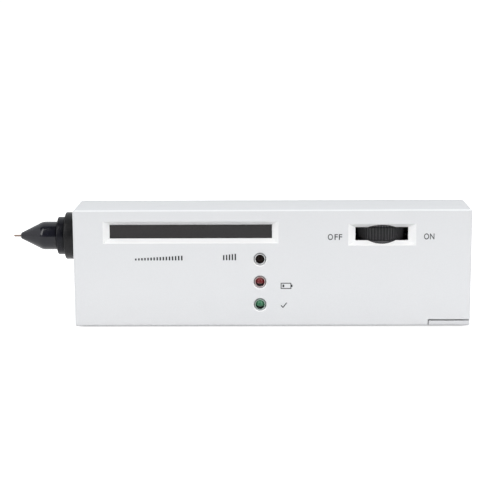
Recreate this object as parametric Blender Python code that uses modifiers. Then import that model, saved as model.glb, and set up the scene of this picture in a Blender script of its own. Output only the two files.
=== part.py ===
"""Hand-held diamond tester, in metres, +Z up.

It stands on its long narrow side. X runs along the housing with the needle towards -X, the front
face looks towards -Y, and the origin is the middle of the footprint, on the resting surface.
"""

import math

import bmesh
import bpy
from mathutils import Matrix, Vector
from mathutils.geometry import interpolate_bezier

# Fits and helpers for cuts
CLEARANCE = 0.0003
WHEEL_CLEARANCE = 0.0004
LAMP_CLEARANCE = 0.0001
OVERRUN = 0.0010
EMBED = 0.0005
MERGE_DISTANCE = 0.000001

# 9 V block battery, lying along the case with its studs towards the nose
BATTERY_LENGTH = 0.0454
BATTERY_WIDTH = 0.0256
BATTERY_DEPTH = 0.0166
BATTERY_CORNER = 0.0015
BATTERY_END_GAP = 0.0004
BATTERY_FLOOR_GAP = 0.0004
STUD_HEIGHT = 0.0026
STUD_PITCH = 0.0127
PLUS_STUD_RADIUS = 0.00285
MINUS_STUD_RADIUS = 0.0040
MINUS_STUD_BORE = 0.0026
SNAP_END_THICKNESS = 0.0009
SNAP_DEPTH = 0.0125
SNAP_CORNER = 0.0010

# Thumbwheel on its rotary control
WHEEL_RADIUS = 0.0082
WHEEL_THICKNESS = 0.0063
WHEEL_BEHIND_FACE = 0.0009
WHEEL_FROM_RIGHT = 0.0303
WHEEL_RIDGES = 50
RIDGE_HEIGHT = 0.00030
RIDGE_CROWN_SHARE = 0.5
WHEEL_CHAMFER = 0.00045
WHEEL_RIM = 0.0018
WHEEL_DISH = 0.0016
WHEEL_HUB_RADIUS = 0.0036
SPINDLE_RADIUS = 0.0020
SPINDLE_BORE = 0.0012
WHEEL_SCREW_RADIUS = 0.0009
WHEEL_SCREW_LENGTH = 0.0040
WHEEL_SCREW_HEAD_RADIUS = 0.0031
WHEEL_SCREW_HEAD = 0.0009
POT_THICKNESS = 0.0025
POT_TAIL_WIDTH = 0.0080

# Printed circuit board behind the wheel
BOARD_WHEEL_GAP = 0.00055
BOARD_THICKNESS = 0.0016
BOARD_REAR_SPACE = 0.0018
BOARD_EDGE_GAP = 0.0007
BOARD_LEFT_MARGIN = 0.0090
TONGUE_PAST_WHEEL = 0.0035

# Housing, as long, deep and high as what it holds
WALL = 0.0020
REAR_COVER_THICKNESS = 0.00225
WINDOW_FROM_LEFT = 0.0123
WINDOW_LENGTH = 0.0550
LENS_MARGIN = 0.0010
LENS_FRAME_WALL = 0.0012
MIDDLE_BOSS_GAP = 0.0018
CASE_BOSS_RADIUS = 0.0030
BOSS_PARTITION_GAP = 0.0022
PARTITION_THICKNESS = 0.0015
PARTITION_GAP = 0.0016
PLATE_THICKNESS = 0.0020
DOOR_INSET = 0.0002
BODY_LENGTH = (
    WINDOW_FROM_LEFT
    + WINDOW_LENGTH
    + LENS_MARGIN
    + LENS_FRAME_WALL
    + MIDDLE_BOSS_GAP
    + 2 * CASE_BOSS_RADIUS
    + BOSS_PARTITION_GAP
    + PARTITION_THICKNESS
    + PARTITION_GAP
    + SNAP_END_THICKNESS
    + STUD_HEIGHT
    + BATTERY_LENGTH
    + BATTERY_END_GAP
    + PLATE_THICKNESS
    + DOOR_INSET
    + 2 * CLEARANCE
)
BODY_DEPTH = (
    WHEEL_BEHIND_FACE
    + 2 * WHEEL_RADIUS
    + BOARD_WHEEL_GAP
    + BOARD_THICKNESS
    + BOARD_REAR_SPACE
    + REAR_COVER_THICKNESS
)
BODY_HEIGHT = (
    2 * WALL
    + BATTERY_FLOOR_GAP
    + BATTERY_WIDTH
    + WHEEL_THICKNESS
    + POT_THICKNESS
    + 3 * WHEEL_CLEARANCE
)
EDGE_RADIUS = 0.0007
EDGE_SEGMENTS = 3
LIP_THICKNESS = 0.0010
LIP_HEIGHT = 0.0015

# Bevelled recesses of the front face
WINDOW_HEIGHT = 0.0047
WINDOW_BELOW_TOP = 0.00755
WINDOW_END_BEVEL = 0.00205
WINDOW_SIDE_BEVEL = 0.00137
SLOT_LENGTH = 0.0178
SLOT_HEIGHT = 0.0045
SLOT_END_BEVEL = 0.00245
SLOT_SIDE_BEVEL = 0.0014

# Window lens, its frame on the wall and the light channels behind it
LENS_THICKNESS = 0.0015
LENS_FRAME_HEIGHT = 0.0025
BAR_LED_COUNT = 12
BAR_LED_WIDTH = 0.0020
BAR_LED_HEIGHT = 0.0030
BAR_LED_THICKNESS = 0.0014
BAR_LED_BEVEL = 0.0002
BAFFLE_WEB = 0.0012

# Three status lamps in a column
LED_RADIUS = 0.0015
LED_FLANGE_RADIUS = 0.0019
LED_FLANGE = 0.0010
LED_LENGTH = 0.0053
LED_LEG = 0.0005
LED_LEG_PITCH = 0.00254
LED_FROM_WINDOW_END = 0.0041
LED_BELOW_LENS = 0.00595
LED_ABOVE_FLOOR = 0.00547
LED_BEHIND_FACE = 0.0001
SINK_RADIUS = 0.00243
SINK_DEPTH = 0.0009
SPACER_WALL = 0.0007

# Battery door: a foot under the lower right corner and an end plate in two grooves
FOOT_LENGTH = 0.01446
FOOT_NOTCH_HEIGHT = 0.00225
PLATE_ABOVE_BATTERY = 0.0027
TONGUE_THICKNESS = 0.0009
GROOVE_DEPTH = 0.0010
GRIP_COUNT = 4
GRIP_PITCH = 0.0020
GRIP_WIDTH = 0.0009
GRIP_DEPTH = 0.0005
GRIP_LENGTH = 0.0110
GRIP_ABOVE_FOOT = 0.0032

# Inner ribs
BOARD_PARTITION_GAP = 0.0005
WIRE_NOTCH_HEIGHT = 0.0070
WIRE_NOTCH_DEPTH = 0.0110
HOLD_RIB_THICKNESS = 0.0012
HOLD_RIB_DEPTH = 0.0030
HOLD_RIB_WHEEL_GAP = 0.0030

# Nose, sizes along its axis counted outwards from the end wall
NOSE_BELOW_TOP = 0.0105
FLANGE_RADIUS = 0.0081
FLANGE_LENGTH = 0.0037
RING_RADIUS = 0.0065
RING_LENGTH = 0.0024
BARREL_RADIUS = 0.00485
BARREL_LENGTH = 0.0050
CONE_LENGTH = 0.0077
CONE_TIP_RADIUS = 0.0011
CONE_SHOULDER = 0.0009
CONE_TIP_ROUNDING = 0.0004
CAP_WALL = 0.00125
CONE_BORE = 0.0024
NEEDLE_HOLE = 0.00065
NOSE_CHAMFER = 0.0003
SPIGOT_LENGTH = 0.0048
SPIGOT_WALL = 0.0007
SLEEVE_RADIUS = 0.0055
SLEEVE_LENGTH = 0.0075
NUT_RADIUS = 0.0075
NUT_LENGTH = 0.0030
NEEDLE_REACH = 0.0025

# Probe inside the nose
NEEDLE_RADIUS = 0.00028
NEEDLE_POINT = 0.0003
NEEDLE_POINT_RADIUS = 0.00016
NEEDLE_BORE = 0.00050
NEEDLE_SEAT = 0.0020
ROD_RADIUS = 0.0009
ROD_LENGTH = 0.0055
SHOULDER_THICKNESS = 0.0012
SHOULDER_CLEARANCE = 0.0004
STEM_RADIUS = 0.0012
STEM_LENGTH = 0.0066
HEATER_LENGTH = 0.0020
HEATER_WALL = 0.00035
SPRING_TURNS = 7
SPRING_POINTS = 10
SPRING_WIRE_RADIUS = 0.00025
SPRING_BORE_CLEARANCE = 0.00045
SPRING_SEAT_DEPTH = 0.0017
RETAINER_STANDS_OUT = 0.0003

# Fasteners
CASE_SCREW_RADIUS = 0.0012
CASE_SCREW_LENGTH = 0.0108
CASE_SCREW_HEAD_RADIUS = 0.0022
CASE_SCREW_HEAD = 0.0016
CASE_SCREW_SINK = 0.0008
COVER_BOSS_RADIUS = 0.0035
COVER_BOSS_HEIGHT = 0.0025
BOARD_BOSS_GAP = 0.0005
BOARD_SCREW_RADIUS = 0.0009
BOARD_SCREW_LENGTH = 0.0060
BOARD_SCREW_HEAD_RADIUS = 0.0020
BOARD_SCREW_HEAD = 0.0012
BOARD_POST_RADIUS = 0.0022
CORNER_BOSS_INSET = 0.0070
TOP_BOSS_BELOW_TOP = 0.0057
RIGHT_BOSS_FROM_RIGHT = 0.0092
LOW_BOSS_HEIGHT = 0.0065
LEFT_POST_INSET = 0.0042
POST_BELOW_LENS = 0.0051
RIGHT_POST_INSET = 0.0070

# Parts on the board, in a low row that runs from the lamps towards the nose, and one chip above it
PART_GAP = 0.0015
LOW_ROW_MARGIN = 0.0020
CHIP_WIDTH = 0.0064
CHIP_HEIGHT = 0.0033
CHIP_STANDOFF = 0.0006
LEG_PITCH = 0.00254
LEG_WIDTH = 0.0006
LEG_OUT = 0.0007
DRIVER_LEGS = 9
SENSOR_LEGS = 4
CHIP_END = 0.0014
BUZZER_RADIUS = 0.0060
BUZZER_HEIGHT = 0.0055
BUZZER_HOLE_RADIUS = 0.0012
BUZZER_HOLE_DEPTH = 0.0015
CAPACITOR_RADIUS = 0.0032
CAPACITOR_HEIGHT = 0.0110
CAPACITOR_NECK = 0.0004
CAPACITOR_NECK_SHARE = 0.14
TRIMMER_SIZE = 0.0068
TRIMMER_HEIGHT = 0.0045
TRIMMER_ROTOR_RADIUS = 0.0018
TRIMMER_ROTOR_RECESS = 0.0008
PART_EDGE = 0.0003

# Insulated leads
LEAD_RADIUS = 0.0005
LEAD_POINTS = 9
LEAD_SPACING = 0.0021
LEAD_LANDING_INSET = 0.0031

# Sides of round shapes
NOSE_SIDES = 36
ROUND_SIDES = 24
SMALL_SIDES = 16
WIRE_RESOLUTION = 2

# Planes and places worked out from the sizes above
NOSE_REACH = (
    FLANGE_LENGTH + RING_LENGTH + BARREL_LENGTH + CONE_LENGTH + NEEDLE_REACH + 2 * CLEARANCE
)
LEFT = (NOSE_REACH - BODY_LENGTH) / 2
RIGHT = LEFT + BODY_LENGTH
WINDOW_LEFT = LEFT + WINDOW_FROM_LEFT
WINDOW_RIGHT = WINDOW_LEFT + WINDOW_LENGTH
WINDOW_X = (WINDOW_LEFT + WINDOW_RIGHT) / 2
FRONT = -BODY_DEPTH / 2
BACK = BODY_DEPTH / 2
INNER_FRONT = FRONT + WALL
INNER_BACK = BACK - REAR_COVER_THICKNESS
SEAM = INNER_BACK - CLEARANCE
INNER_TOP = BODY_HEIGHT - WALL

BATTERY_TOP = WALL + BATTERY_FLOOR_GAP + BATTERY_WIDTH
BATTERY_MIDDLE = BATTERY_TOP - BATTERY_WIDTH / 2
BATTERY_Y = (INNER_FRONT + INNER_BACK) / 2
PLATE_OUTSIDE = RIGHT - DOOR_INSET
PLATE_INSIDE = PLATE_OUTSIDE - PLATE_THICKNESS
BATTERY_RIGHT = PLATE_INSIDE - BATTERY_END_GAP
BATTERY_LEFT = BATTERY_RIGHT - BATTERY_LENGTH
STUD_END = BATTERY_LEFT - STUD_HEIGHT
SNAP_LEFT = STUD_END - CLEARANCE - SNAP_END_THICKNESS
PARTITION_RIGHT = SNAP_LEFT - PARTITION_GAP
PARTITION_LEFT = PARTITION_RIGHT - PARTITION_THICKNESS
MIDDLE_BOSS_X = PARTITION_LEFT - BOSS_PARTITION_GAP - CASE_BOSS_RADIUS
DOOR_TOP = BATTERY_TOP + PLATE_ABOVE_BATTERY
OPENING_TOP = DOOR_TOP + CLEARANCE

WHEEL_X = RIGHT - WHEEL_FROM_RIGHT
WHEEL_Y = FRONT + WHEEL_BEHIND_FACE + WHEEL_RADIUS
WHEEL_BOTTOM = BATTERY_TOP + WHEEL_CLEARANCE
WHEEL_TOP = WHEEL_BOTTOM + WHEEL_THICKNESS
WHEEL_MIDDLE = (WHEEL_BOTTOM + WHEEL_TOP) / 2
POT_BOTTOM = WHEEL_TOP + WHEEL_CLEARANCE
POT_TOP = POT_BOTTOM + POT_THICKNESS

BOARD_FRONT = WHEEL_Y + WHEEL_RADIUS + BOARD_WHEEL_GAP
BOARD_BACK = BOARD_FRONT + BOARD_THICKNESS
BOARD_LEFT = LEFT + WALL + BOARD_LEFT_MARGIN
BOARD_RIGHT = PARTITION_LEFT - BOARD_PARTITION_GAP
TONGUE_END = WHEEL_X + WHEEL_RADIUS + TONGUE_PAST_WHEEL
BOARD_BOTTOM = WALL + BOARD_EDGE_GAP
BOARD_TOP = INNER_TOP - BOARD_EDGE_GAP
BOARD_SEAT = BOARD_FRONT - CLEARANCE

WINDOW_Z = BODY_HEIGHT - WINDOW_BELOW_TOP
LENS_HALF_LENGTH = WINDOW_LENGTH / 2 + LENS_MARGIN
LENS_HALF_HEIGHT = WINDOW_HEIGHT / 2 + LENS_MARGIN
LENS_BOTTOM = WINDOW_Z - LENS_HALF_HEIGHT
LENS_FRONT = INNER_FRONT + CLEARANCE
LENS_BACK = LENS_FRONT + LENS_THICKNESS
BAR_PITCH = WINDOW_LENGTH / BAR_LED_COUNT

LED_X = WINDOW_RIGHT - LED_FROM_WINDOW_END
TOP_LED = LENS_BOTTOM - LED_BELOW_LENS
BOTTOM_LED = WALL + LED_ABOVE_FLOOR
LED_HEIGHTS = (TOP_LED, (TOP_LED + BOTTOM_LED) / 2, BOTTOM_LED)
LED_TIP = FRONT + LED_BEHIND_FACE
LED_BASE = LED_TIP + LED_LENGTH
SPACER_BORE = LED_LEG_PITCH / 2 + LED_LEG / 2 + CLEARANCE
SPACER_RADIUS = SPACER_BORE + SPACER_WALL

NOSE_AXIS = Vector((LEFT, 0, BODY_HEIGHT - NOSE_BELOW_TOP))
OUTWARDS = Vector((-1, 0, 0))
RING_START = FLANGE_LENGTH + CLEARANCE
CAP_START = RING_START + RING_LENGTH + CLEARANCE
CONE_START = CAP_START + BARREL_LENGTH
CONE_END = CONE_START + CONE_LENGTH
CAP_BORE = BARREL_RADIUS - CAP_WALL
STOP = CONE_START + CLEARANCE
SPIGOT_RADIUS = CAP_BORE - CLEARANCE
SPIGOT_BORE = SPIGOT_RADIUS - SPIGOT_WALL
SHOULDER_FRONT = STOP - CLEARANCE
SHOULDER_BACK = SHOULDER_FRONT - SHOULDER_THICKNESS
STEM_END = SHOULDER_BACK - STEM_LENGTH

BOARD_POSTS = (
    (BOARD_LEFT + LEFT_POST_INSET, LENS_BOTTOM - POST_BELOW_LENS),
    (BOARD_RIGHT - RIGHT_POST_INSET, TOP_LED),
)
CASE_BOSSES = (
    (LEFT + CORNER_BOSS_INSET, CORNER_BOSS_INSET),
    (MIDDLE_BOSS_X, LOW_BOSS_HEIGHT),
    (MIDDLE_BOSS_X, BODY_HEIGHT - TOP_BOSS_BELOW_TOP),
    (RIGHT - RIGHT_BOSS_FROM_RIGHT, BODY_HEIGHT - TOP_BOSS_BELOW_TOP),
)

DRIVER_CHIP_LENGTH = (DRIVER_LEGS - 1) * LEG_PITCH + 2 * CHIP_END
SENSOR_CHIP_LENGTH = (SENSOR_LEGS - 1) * LEG_PITCH + 2 * CHIP_END
LOW_ROW = BOARD_BOTTOM + LOW_ROW_MARGIN + BUZZER_RADIUS
UPPER_ROW = (LOW_ROW + BUZZER_RADIUS + LENS_BOTTOM) / 2
PARTS_END = LED_X - SPACER_RADIUS - PART_GAP
TRIMMER_X = PARTS_END - TRIMMER_SIZE / 2
SENSOR_CHIP_X = PARTS_END - TRIMMER_SIZE - PART_GAP - SENSOR_CHIP_LENGTH / 2
CAPACITOR_X = SENSOR_CHIP_X - SENSOR_CHIP_LENGTH / 2 - PART_GAP - CAPACITOR_RADIUS
BUZZER_X = CAPACITOR_X - CAPACITOR_RADIUS - PART_GAP - BUZZER_RADIUS
DRIVER_CHIP_X = PARTS_END - DRIVER_CHIP_LENGTH / 2

for leftover in list(bpy.data.objects):
    bpy.data.objects.remove(leftover, do_unlink=True)


def new_collection(name):
    collection = bpy.data.collections.new(name)
    bpy.context.scene.collection.children.link(collection)
    return collection


PARTS = new_collection("diamond_tester")
HELPERS = new_collection("helpers")


def linear(channel):
    """One 0 to 255 channel of a screen colour as the linear value that a shader takes."""
    share = channel / 255
    return share / 12.92 if share <= 0.04045 else ((share + 0.055) / 1.055) ** 2.4


def material(name, colour, roughness, metallic=0.0):
    made = bpy.data.materials.new(name)
    made.use_nodes = True
    shader = made.node_tree.nodes["Principled BSDF"]
    shade = [linear(channel) for channel in colour] + [1.0]
    shader.inputs["Base Color"].default_value = shade
    shader.inputs["Roughness"].default_value = roughness
    shader.inputs["Metallic"].default_value = metallic
    made.diffuse_color = shade
    return made


HOUSING = material("housing_paint", (229, 230, 232), 0.38)
BLACK_PLASTIC = material("black_plastic", (40, 40, 44), 0.42)
RUBBED_BLACK = material("wheel_black", (44, 44, 46), 0.55)
SMOKED = material("smoked_lens", (52, 49, 50), 0.22)
COPPER = material("copper", (196, 132, 108), 0.3, 1.0)
STEEL = material("steel", (176, 178, 182), 0.32, 1.0)
BRASS = material("brass", (196, 168, 96), 0.35, 1.0)
BOARD_DARK = material("board_dark", (22, 34, 27), 0.5)
WHITE_PLASTIC = material("white_plastic", (232, 232, 226), 0.5)
CHIP_BLACK = material("chip_black", (28, 28, 30), 0.6)
TRIMMER_BLUE = material("trimmer_blue", (36, 84, 168), 0.45)
DARK_LAMP = material("dark_lamp", (36, 30, 28), 0.2)
RED_LAMP = material("red_lamp", (127, 40, 42), 0.2)
GREEN_LAMP = material("green_lamp", (70, 132, 100), 0.2)
BAR_LAMP = material("bar_lamp", (196, 204, 172), 0.3)
RED_LEAD = material("red_lead", (178, 32, 28), 0.5)
BLACK_LEAD = material("black_lead", (24, 24, 26), 0.5)
BATTERY_SKIN = material("battery_skin", (46, 50, 58), 0.35, 0.4)


def add_object(name, mesh, collection, surface=None):
    """A mesh as an object, in the part's own collection or, as a helper, hidden from renders."""
    made = bpy.data.objects.new(name, mesh)
    collection.objects.link(made)
    if surface:
        mesh.materials.append(surface)
    if collection is HELPERS:
        made.hide_render = True
        made.display_type = "WIRE"
    return made


def mesh_of(name, build):
    """A mesh filled by build(bm)."""
    shape = bmesh.new()
    build(shape)
    mesh = bpy.data.meshes.new(name)
    shape.to_mesh(mesh)
    shape.free()
    return mesh


def box(name, low, high, collection=PARTS, surface=None):
    """A box between two corners, its origin in its middle."""
    low, high = Vector(low), Vector(high)
    size = Matrix.Diagonal(high - low).to_4x4()
    mesh = mesh_of(name, lambda shape: bmesh.ops.create_cube(shape, size=1, matrix=size))
    made = add_object(name, mesh, collection, surface)
    made.location = (low + high) / 2
    return made


def boxes(name, corners, collection=HELPERS):
    """Several separate boxes as one helper."""

    def build(shape):
        for low, high in corners:
            low, high = Vector(low), Vector(high)
            place = Matrix.Translation((low + high) / 2) @ Matrix.Diagonal(high - low).to_4x4()
            bmesh.ops.create_cube(shape, size=1, matrix=place)

    return add_object(name, mesh_of(name, build), collection)


def smooth(mesh):
    mesh.shade_smooth()
    mesh.set_sharp_from_angle(angle=math.radians(35))


def cylinder(name, radius, start, end, sides=ROUND_SIDES, collection=PARTS, surface=None, end_radius=None):
    """A round bar from start to end, its origin at the start. end_radius makes it a cone."""
    start, end = Vector(start), Vector(end)
    length = (end - start).length
    far_radius = radius if end_radius is None else end_radius

    def build(shape):
        bmesh.ops.create_cone(
            shape, cap_ends=True, segments=sides, radius1=radius, radius2=far_radius,
            depth=length, matrix=Matrix.Translation((0, 0, length / 2)),
        )

    mesh = mesh_of(name, build)
    smooth(mesh)
    made = add_object(name, mesh, collection, surface)
    made.location = start
    made.rotation_euler = (end - start).to_track_quat("Z", "Y").to_euler()
    return made


def turned(name, profile, origin, direction, sides, surface, closed=False):
    """A lathe shape. profile holds (radius, distance along direction) down its outer side."""

    def build(shape):
        corners = [shape.verts.new((radius, 0, along)) for radius, along in profile]
        for near, far in zip(corners, corners[1:]):
            shape.edges.new((near, far))
        if closed:
            shape.edges.new((corners[-1], corners[0]))

    made = add_object(name, mesh_of(name, build), PARTS, surface)
    made.location = origin
    made.rotation_euler = Vector(direction).to_track_quat("Z", "Y").to_euler()
    screw = made.modifiers.new("turned", "SCREW")
    screw.steps = sides
    screw.render_steps = sides
    screw.use_merge_vertices = True
    screw.merge_threshold = MERGE_DISTANCE
    return made


def combine(target, other, operation):
    boolean = target.modifiers.new(f"{operation.lower()} {other.name}", "BOOLEAN")
    boolean.operation = operation
    boolean.solver = "EXACT"
    boolean.object = other


def cut(target, *cutters):
    for cutter in cutters:
        combine(target, cutter, "DIFFERENCE")


def join(target, *others):
    for other in others:
        combine(target, other, "UNION")


def round_edges(target, width, segments=2):
    bevel = target.modifiers.new("rounded edges", "BEVEL")
    bevel.width = width
    bevel.segments = segments
    bevel.limit_method = "ANGLE"
    bevel.harden_normals = False


def tapered_cutter(name, x, z, length, height, end_bevel, side_bevel):
    """A recess through the front wall whose four walls slope out to the face."""
    low = (x - length / 2, INNER_FRONT - WALL, z - height / 2)
    high = (x + length / 2, INNER_FRONT, z + height / 2)
    made = box(name, low, high, HELPERS)
    slope = (WALL + OVERRUN) / WALL
    for corner in made.data.vertices:
        if corner.co.y < 0:
            corner.co.x += math.copysign(end_bevel * slope, corner.co.x)
            corner.co.z += math.copysign(side_bevel * slope, corner.co.z)
            corner.co.y -= OVERRUN
    return made


def flat_outline(name, points, low_y, high_y, surface):
    """A board cut from a sheet: an outline in X and Z with its thickness along Y."""
    curve = bpy.data.curves.new(name, "CURVE")
    curve.dimensions = "2D"
    curve.fill_mode = "BOTH"
    curve.extrude = (high_y - low_y) / 2
    line = curve.splines.new("POLY")
    line.points.add(len(points) - 1)
    for point, (x, z) in zip(line.points, points):
        point.co = (x, z, 0, 1)
    line.use_cyclic_u = True
    guide = bpy.data.objects.new(name + "_outline", curve)
    HELPERS.objects.link(guide)
    guide.location = (0, (low_y + high_y) / 2, 0)
    guide.rotation_euler = (math.radians(90), 0, 0)
    return curve_to_mesh(name, guide, PARTS, surface)


def curve_to_mesh(name, guide, collection, surface):
    """The solid of a curve object as a closed mesh object in the same place."""
    bpy.context.view_layer.update()
    graph = bpy.context.evaluated_depsgraph_get()
    mesh = bpy.data.meshes.new_from_object(guide.evaluated_get(graph))
    shape = bmesh.new()
    shape.from_mesh(mesh)
    bmesh.ops.remove_doubles(shape, verts=shape.verts, dist=MERGE_DISTANCE)
    bmesh.ops.recalc_face_normals(shape, faces=shape.faces)
    shape.to_mesh(mesh)
    shape.free()
    mesh.name = name
    mesh.materials.clear()
    made = add_object(name, mesh, collection, surface)
    made.matrix_world = guide.matrix_world.copy()
    bpy.data.objects.remove(guide, do_unlink=True)
    return made


def tube(name, points, radius, surface, resolution=WIRE_RESOLUTION):
    """A wire along a list of points, as a curve with filled caps."""
    curve = bpy.data.curves.new(name, "CURVE")
    curve.dimensions = "3D"
    curve.bevel_depth = radius
    curve.bevel_resolution = resolution
    curve.use_fill_caps = True
    line = curve.splines.new("POLY")
    line.points.add(len(points) - 1)
    for point, place in zip(line.points, points):
        point.co = (*place, 1)
    curve.materials.append(surface)
    made = bpy.data.objects.new(name, curve)
    PARTS.objects.link(made)
    return made


def bend(start, start_pull, end, end_pull, count=LEAD_POINTS):
    """Points on one smooth bend that leaves start and reaches end along the two pulls."""
    start, end = Vector(start), Vector(end)
    near, far = start + Vector(start_pull), end + Vector(end_pull)
    return interpolate_bezier(start, near, far, end, count)


def axis_empty(name, place):
    """An empty on a joint's axis, which carries the pieces that move there."""
    made = bpy.data.objects.new(name, None)
    made.location = place
    PARTS.objects.link(made)
    return made


def carry(empty, *pieces):
    for piece in pieces:
        piece.parent = empty
        piece.matrix_parent_inverse = Matrix.Translation(-Vector(empty.location))


def housing_block(name, collection=PARTS, surface=None):
    """The whole outer form with rounded edges, from which both shells and the foot are cut."""
    block = box(name, (LEFT, FRONT, 0), (RIGHT, BACK, BODY_HEIGHT), collection, surface)
    round_edges(block, EDGE_RADIUS, EDGE_SEGMENTS)
    return block


def foot_notch():
    """The corner that the door's foot fills, cut from both shells."""
    return box(
        "foot_notch",
        (RIGHT - FOOT_LENGTH, FRONT - OVERRUN, -OVERRUN),
        (RIGHT + OVERRUN, BACK + OVERRUN, FOOT_NOTCH_HEIGHT),
        HELPERS,
    )


def door_grooves():
    """The two upright grooves that hold the end plate's tongues, one in each shell."""
    inside = PLATE_INSIDE - CLEARANCE
    outside = PLATE_INSIDE + TONGUE_THICKNESS + CLEARANCE
    return box(
        "door_grooves",
        (inside, INNER_FRONT - GROOVE_DEPTH, 0),
        (outside, INNER_BACK + GROOVE_DEPTH, OPENING_TOP),
        HELPERS,
    )


NOTCH = foot_notch()
GROOVES = door_grooves()


def make_front_case():
    case = housing_block("front_case", PARTS, HOUSING)
    behind_seam = box(
        "behind_seam",
        (LEFT - OVERRUN, SEAM, -OVERRUN),
        (RIGHT + OVERRUN, BACK + OVERRUN, BODY_HEIGHT + OVERRUN),
        HELPERS,
    )
    hollow = box(
        "case_hollow",
        (LEFT + WALL, INNER_FRONT, WALL),
        (RIGHT - WALL, BACK + OVERRUN, INNER_TOP),
        HELPERS,
    )
    cut(case, behind_seam, hollow)
    add_inner_ribs(case)
    add_bosses(case)
    cut_front_face(case)
    nose_hole = cylinder(
        "nose_hole",
        SLEEVE_RADIUS + CLEARANCE,
        NOSE_AXIS + OUTWARDS * OVERRUN,
        NOSE_AXIS - OUTWARDS * (WALL + OVERRUN),
        NOSE_SIDES,
        HELPERS,
    )
    end_opening = box(
        "end_opening",
        (PLATE_INSIDE - OVERRUN, INNER_FRONT, -OVERRUN),
        (RIGHT + OVERRUN, BACK + OVERRUN, OPENING_TOP),
        HELPERS,
    )
    cut(case, nose_hole, end_opening, GROOVES, NOTCH)


def add_inner_ribs(case):
    wall_face = INNER_FRONT - EMBED
    partition = box(
        "battery_partition",
        (PARTITION_LEFT, wall_face, WALL - EMBED),
        (PARTITION_RIGHT, SEAM, BATTERY_TOP),
        HELPERS,
    )
    wire_notch = box(
        "wire_notch",
        (PARTITION_LEFT - OVERRUN, SEAM - WIRE_NOTCH_DEPTH, BATTERY_MIDDLE - WIRE_NOTCH_HEIGHT / 2),
        (PARTITION_RIGHT + OVERRUN, SEAM + OVERRUN, BATTERY_MIDDLE + WIRE_NOTCH_HEIGHT / 2),
        HELPERS,
    )
    rib_bottom = BATTERY_TOP + WHEEL_CLEARANCE
    rib_top = rib_bottom + HOLD_RIB_THICKNESS
    rib_back = INNER_FRONT + HOLD_RIB_DEPTH
    reach = WHEEL_RADIUS + HOLD_RIB_WHEEL_GAP
    hold_ribs = boxes(
        "hold_ribs",
        [
            ((PARTITION_RIGHT, wall_face, rib_bottom), (WHEEL_X - reach, rib_back, rib_top)),
            ((WHEEL_X + reach, wall_face, rib_bottom), (RIGHT - WALL + EMBED, rib_back, rib_top)),
        ],
    )
    join(case, partition, hold_ribs, lens_frame())
    cut(case, wire_notch)


def lens_frame():
    """The raised frame on the wall's inner face that the lens and the light channels sit in."""
    inner_length = LENS_HALF_LENGTH + CLEARANCE
    inner_height = LENS_HALF_HEIGHT + CLEARANCE
    outer_length = inner_length + LENS_FRAME_WALL
    outer_height = inner_height + LENS_FRAME_WALL
    top = min(WINDOW_Z + outer_height, INNER_TOP + EMBED)
    frame = box(
        "lens_frame",
        (WINDOW_X - outer_length, INNER_FRONT - EMBED, WINDOW_Z - outer_height),
        (WINDOW_X + outer_length, INNER_FRONT + LENS_FRAME_HEIGHT, top),
        HELPERS,
    )
    middle = box(
        "lens_frame_middle",
        (WINDOW_X - inner_length, INNER_FRONT - WALL, WINDOW_Z - inner_height),
        (WINDOW_X + inner_length, INNER_FRONT + LENS_FRAME_HEIGHT + OVERRUN, WINDOW_Z + inner_height),
        HELPERS,
    )
    cut(frame, middle)
    return frame


def add_bosses(case):
    """Four tall bosses for the cover's screws and two posts that carry the board."""
    boss_end = INNER_BACK - COVER_BOSS_HEIGHT - CLEARANCE
    sites = [(place, CASE_BOSS_RADIUS, boss_end, CASE_SCREW_RADIUS, CASE_SCREW_LENGTH)
             for place in CASE_BOSSES]
    sites += [(place, BOARD_POST_RADIUS, BOARD_SEAT, BOARD_SCREW_RADIUS, BOARD_SCREW_LENGTH)
              for place in BOARD_POSTS]
    for number, ((x, z), radius, end, screw_radius, screw_length) in enumerate(sites, 1):
        boss = cylinder(
            f"boss_{number}", radius, (x, INNER_FRONT - EMBED, z), (x, end, z), SMALL_SIDES, HELPERS
        )
        pilot = cylinder(
            f"pilot_hole_{number}",
            screw_radius + CLEARANCE,
            (x, end - screw_length, z),
            (x, end + OVERRUN, z),
            SMALL_SIDES,
            HELPERS,
        )
        join(case, boss)
        cut(case, pilot)


def cut_front_face(case):
    window = tapered_cutter(
        "window_recess", WINDOW_X, WINDOW_Z, WINDOW_LENGTH, WINDOW_HEIGHT,
        WINDOW_END_BEVEL, WINDOW_SIDE_BEVEL,
    )
    slot = tapered_cutter(
        "wheel_slot", WHEEL_X, WHEEL_MIDDLE, SLOT_LENGTH, SLOT_HEIGHT,
        SLOT_END_BEVEL, SLOT_SIDE_BEVEL,
    )
    wheel_room = cylinder(
        "wheel_room",
        WHEEL_RADIUS + CLEARANCE,
        (WHEEL_X, WHEEL_Y, WHEEL_BOTTOM - CLEARANCE),
        (WHEEL_X, WHEEL_Y, WHEEL_TOP + CLEARANCE),
        4 * ROUND_SIDES,
        HELPERS,
    )
    cut(case, window, slot, wheel_room)
    for number, height in enumerate(LED_HEIGHTS, 1):
        hole = cylinder(
            f"lamp_hole_{number}",
            LED_RADIUS + LAMP_CLEARANCE,
            (LED_X, FRONT - OVERRUN, height),
            (LED_X, INNER_FRONT + OVERRUN, height),
            ROUND_SIDES,
            HELPERS,
        )
        widening = (SINK_RADIUS - LED_RADIUS) * OVERRUN / SINK_DEPTH
        sink = cylinder(
            f"lamp_sink_{number}",
            SINK_RADIUS + widening,
            (LED_X, FRONT - OVERRUN, height),
            (LED_X, FRONT + SINK_DEPTH, height),
            ROUND_SIDES,
            HELPERS,
            end_radius=LED_RADIUS,
        )
        cut(case, hole, sink)


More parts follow.
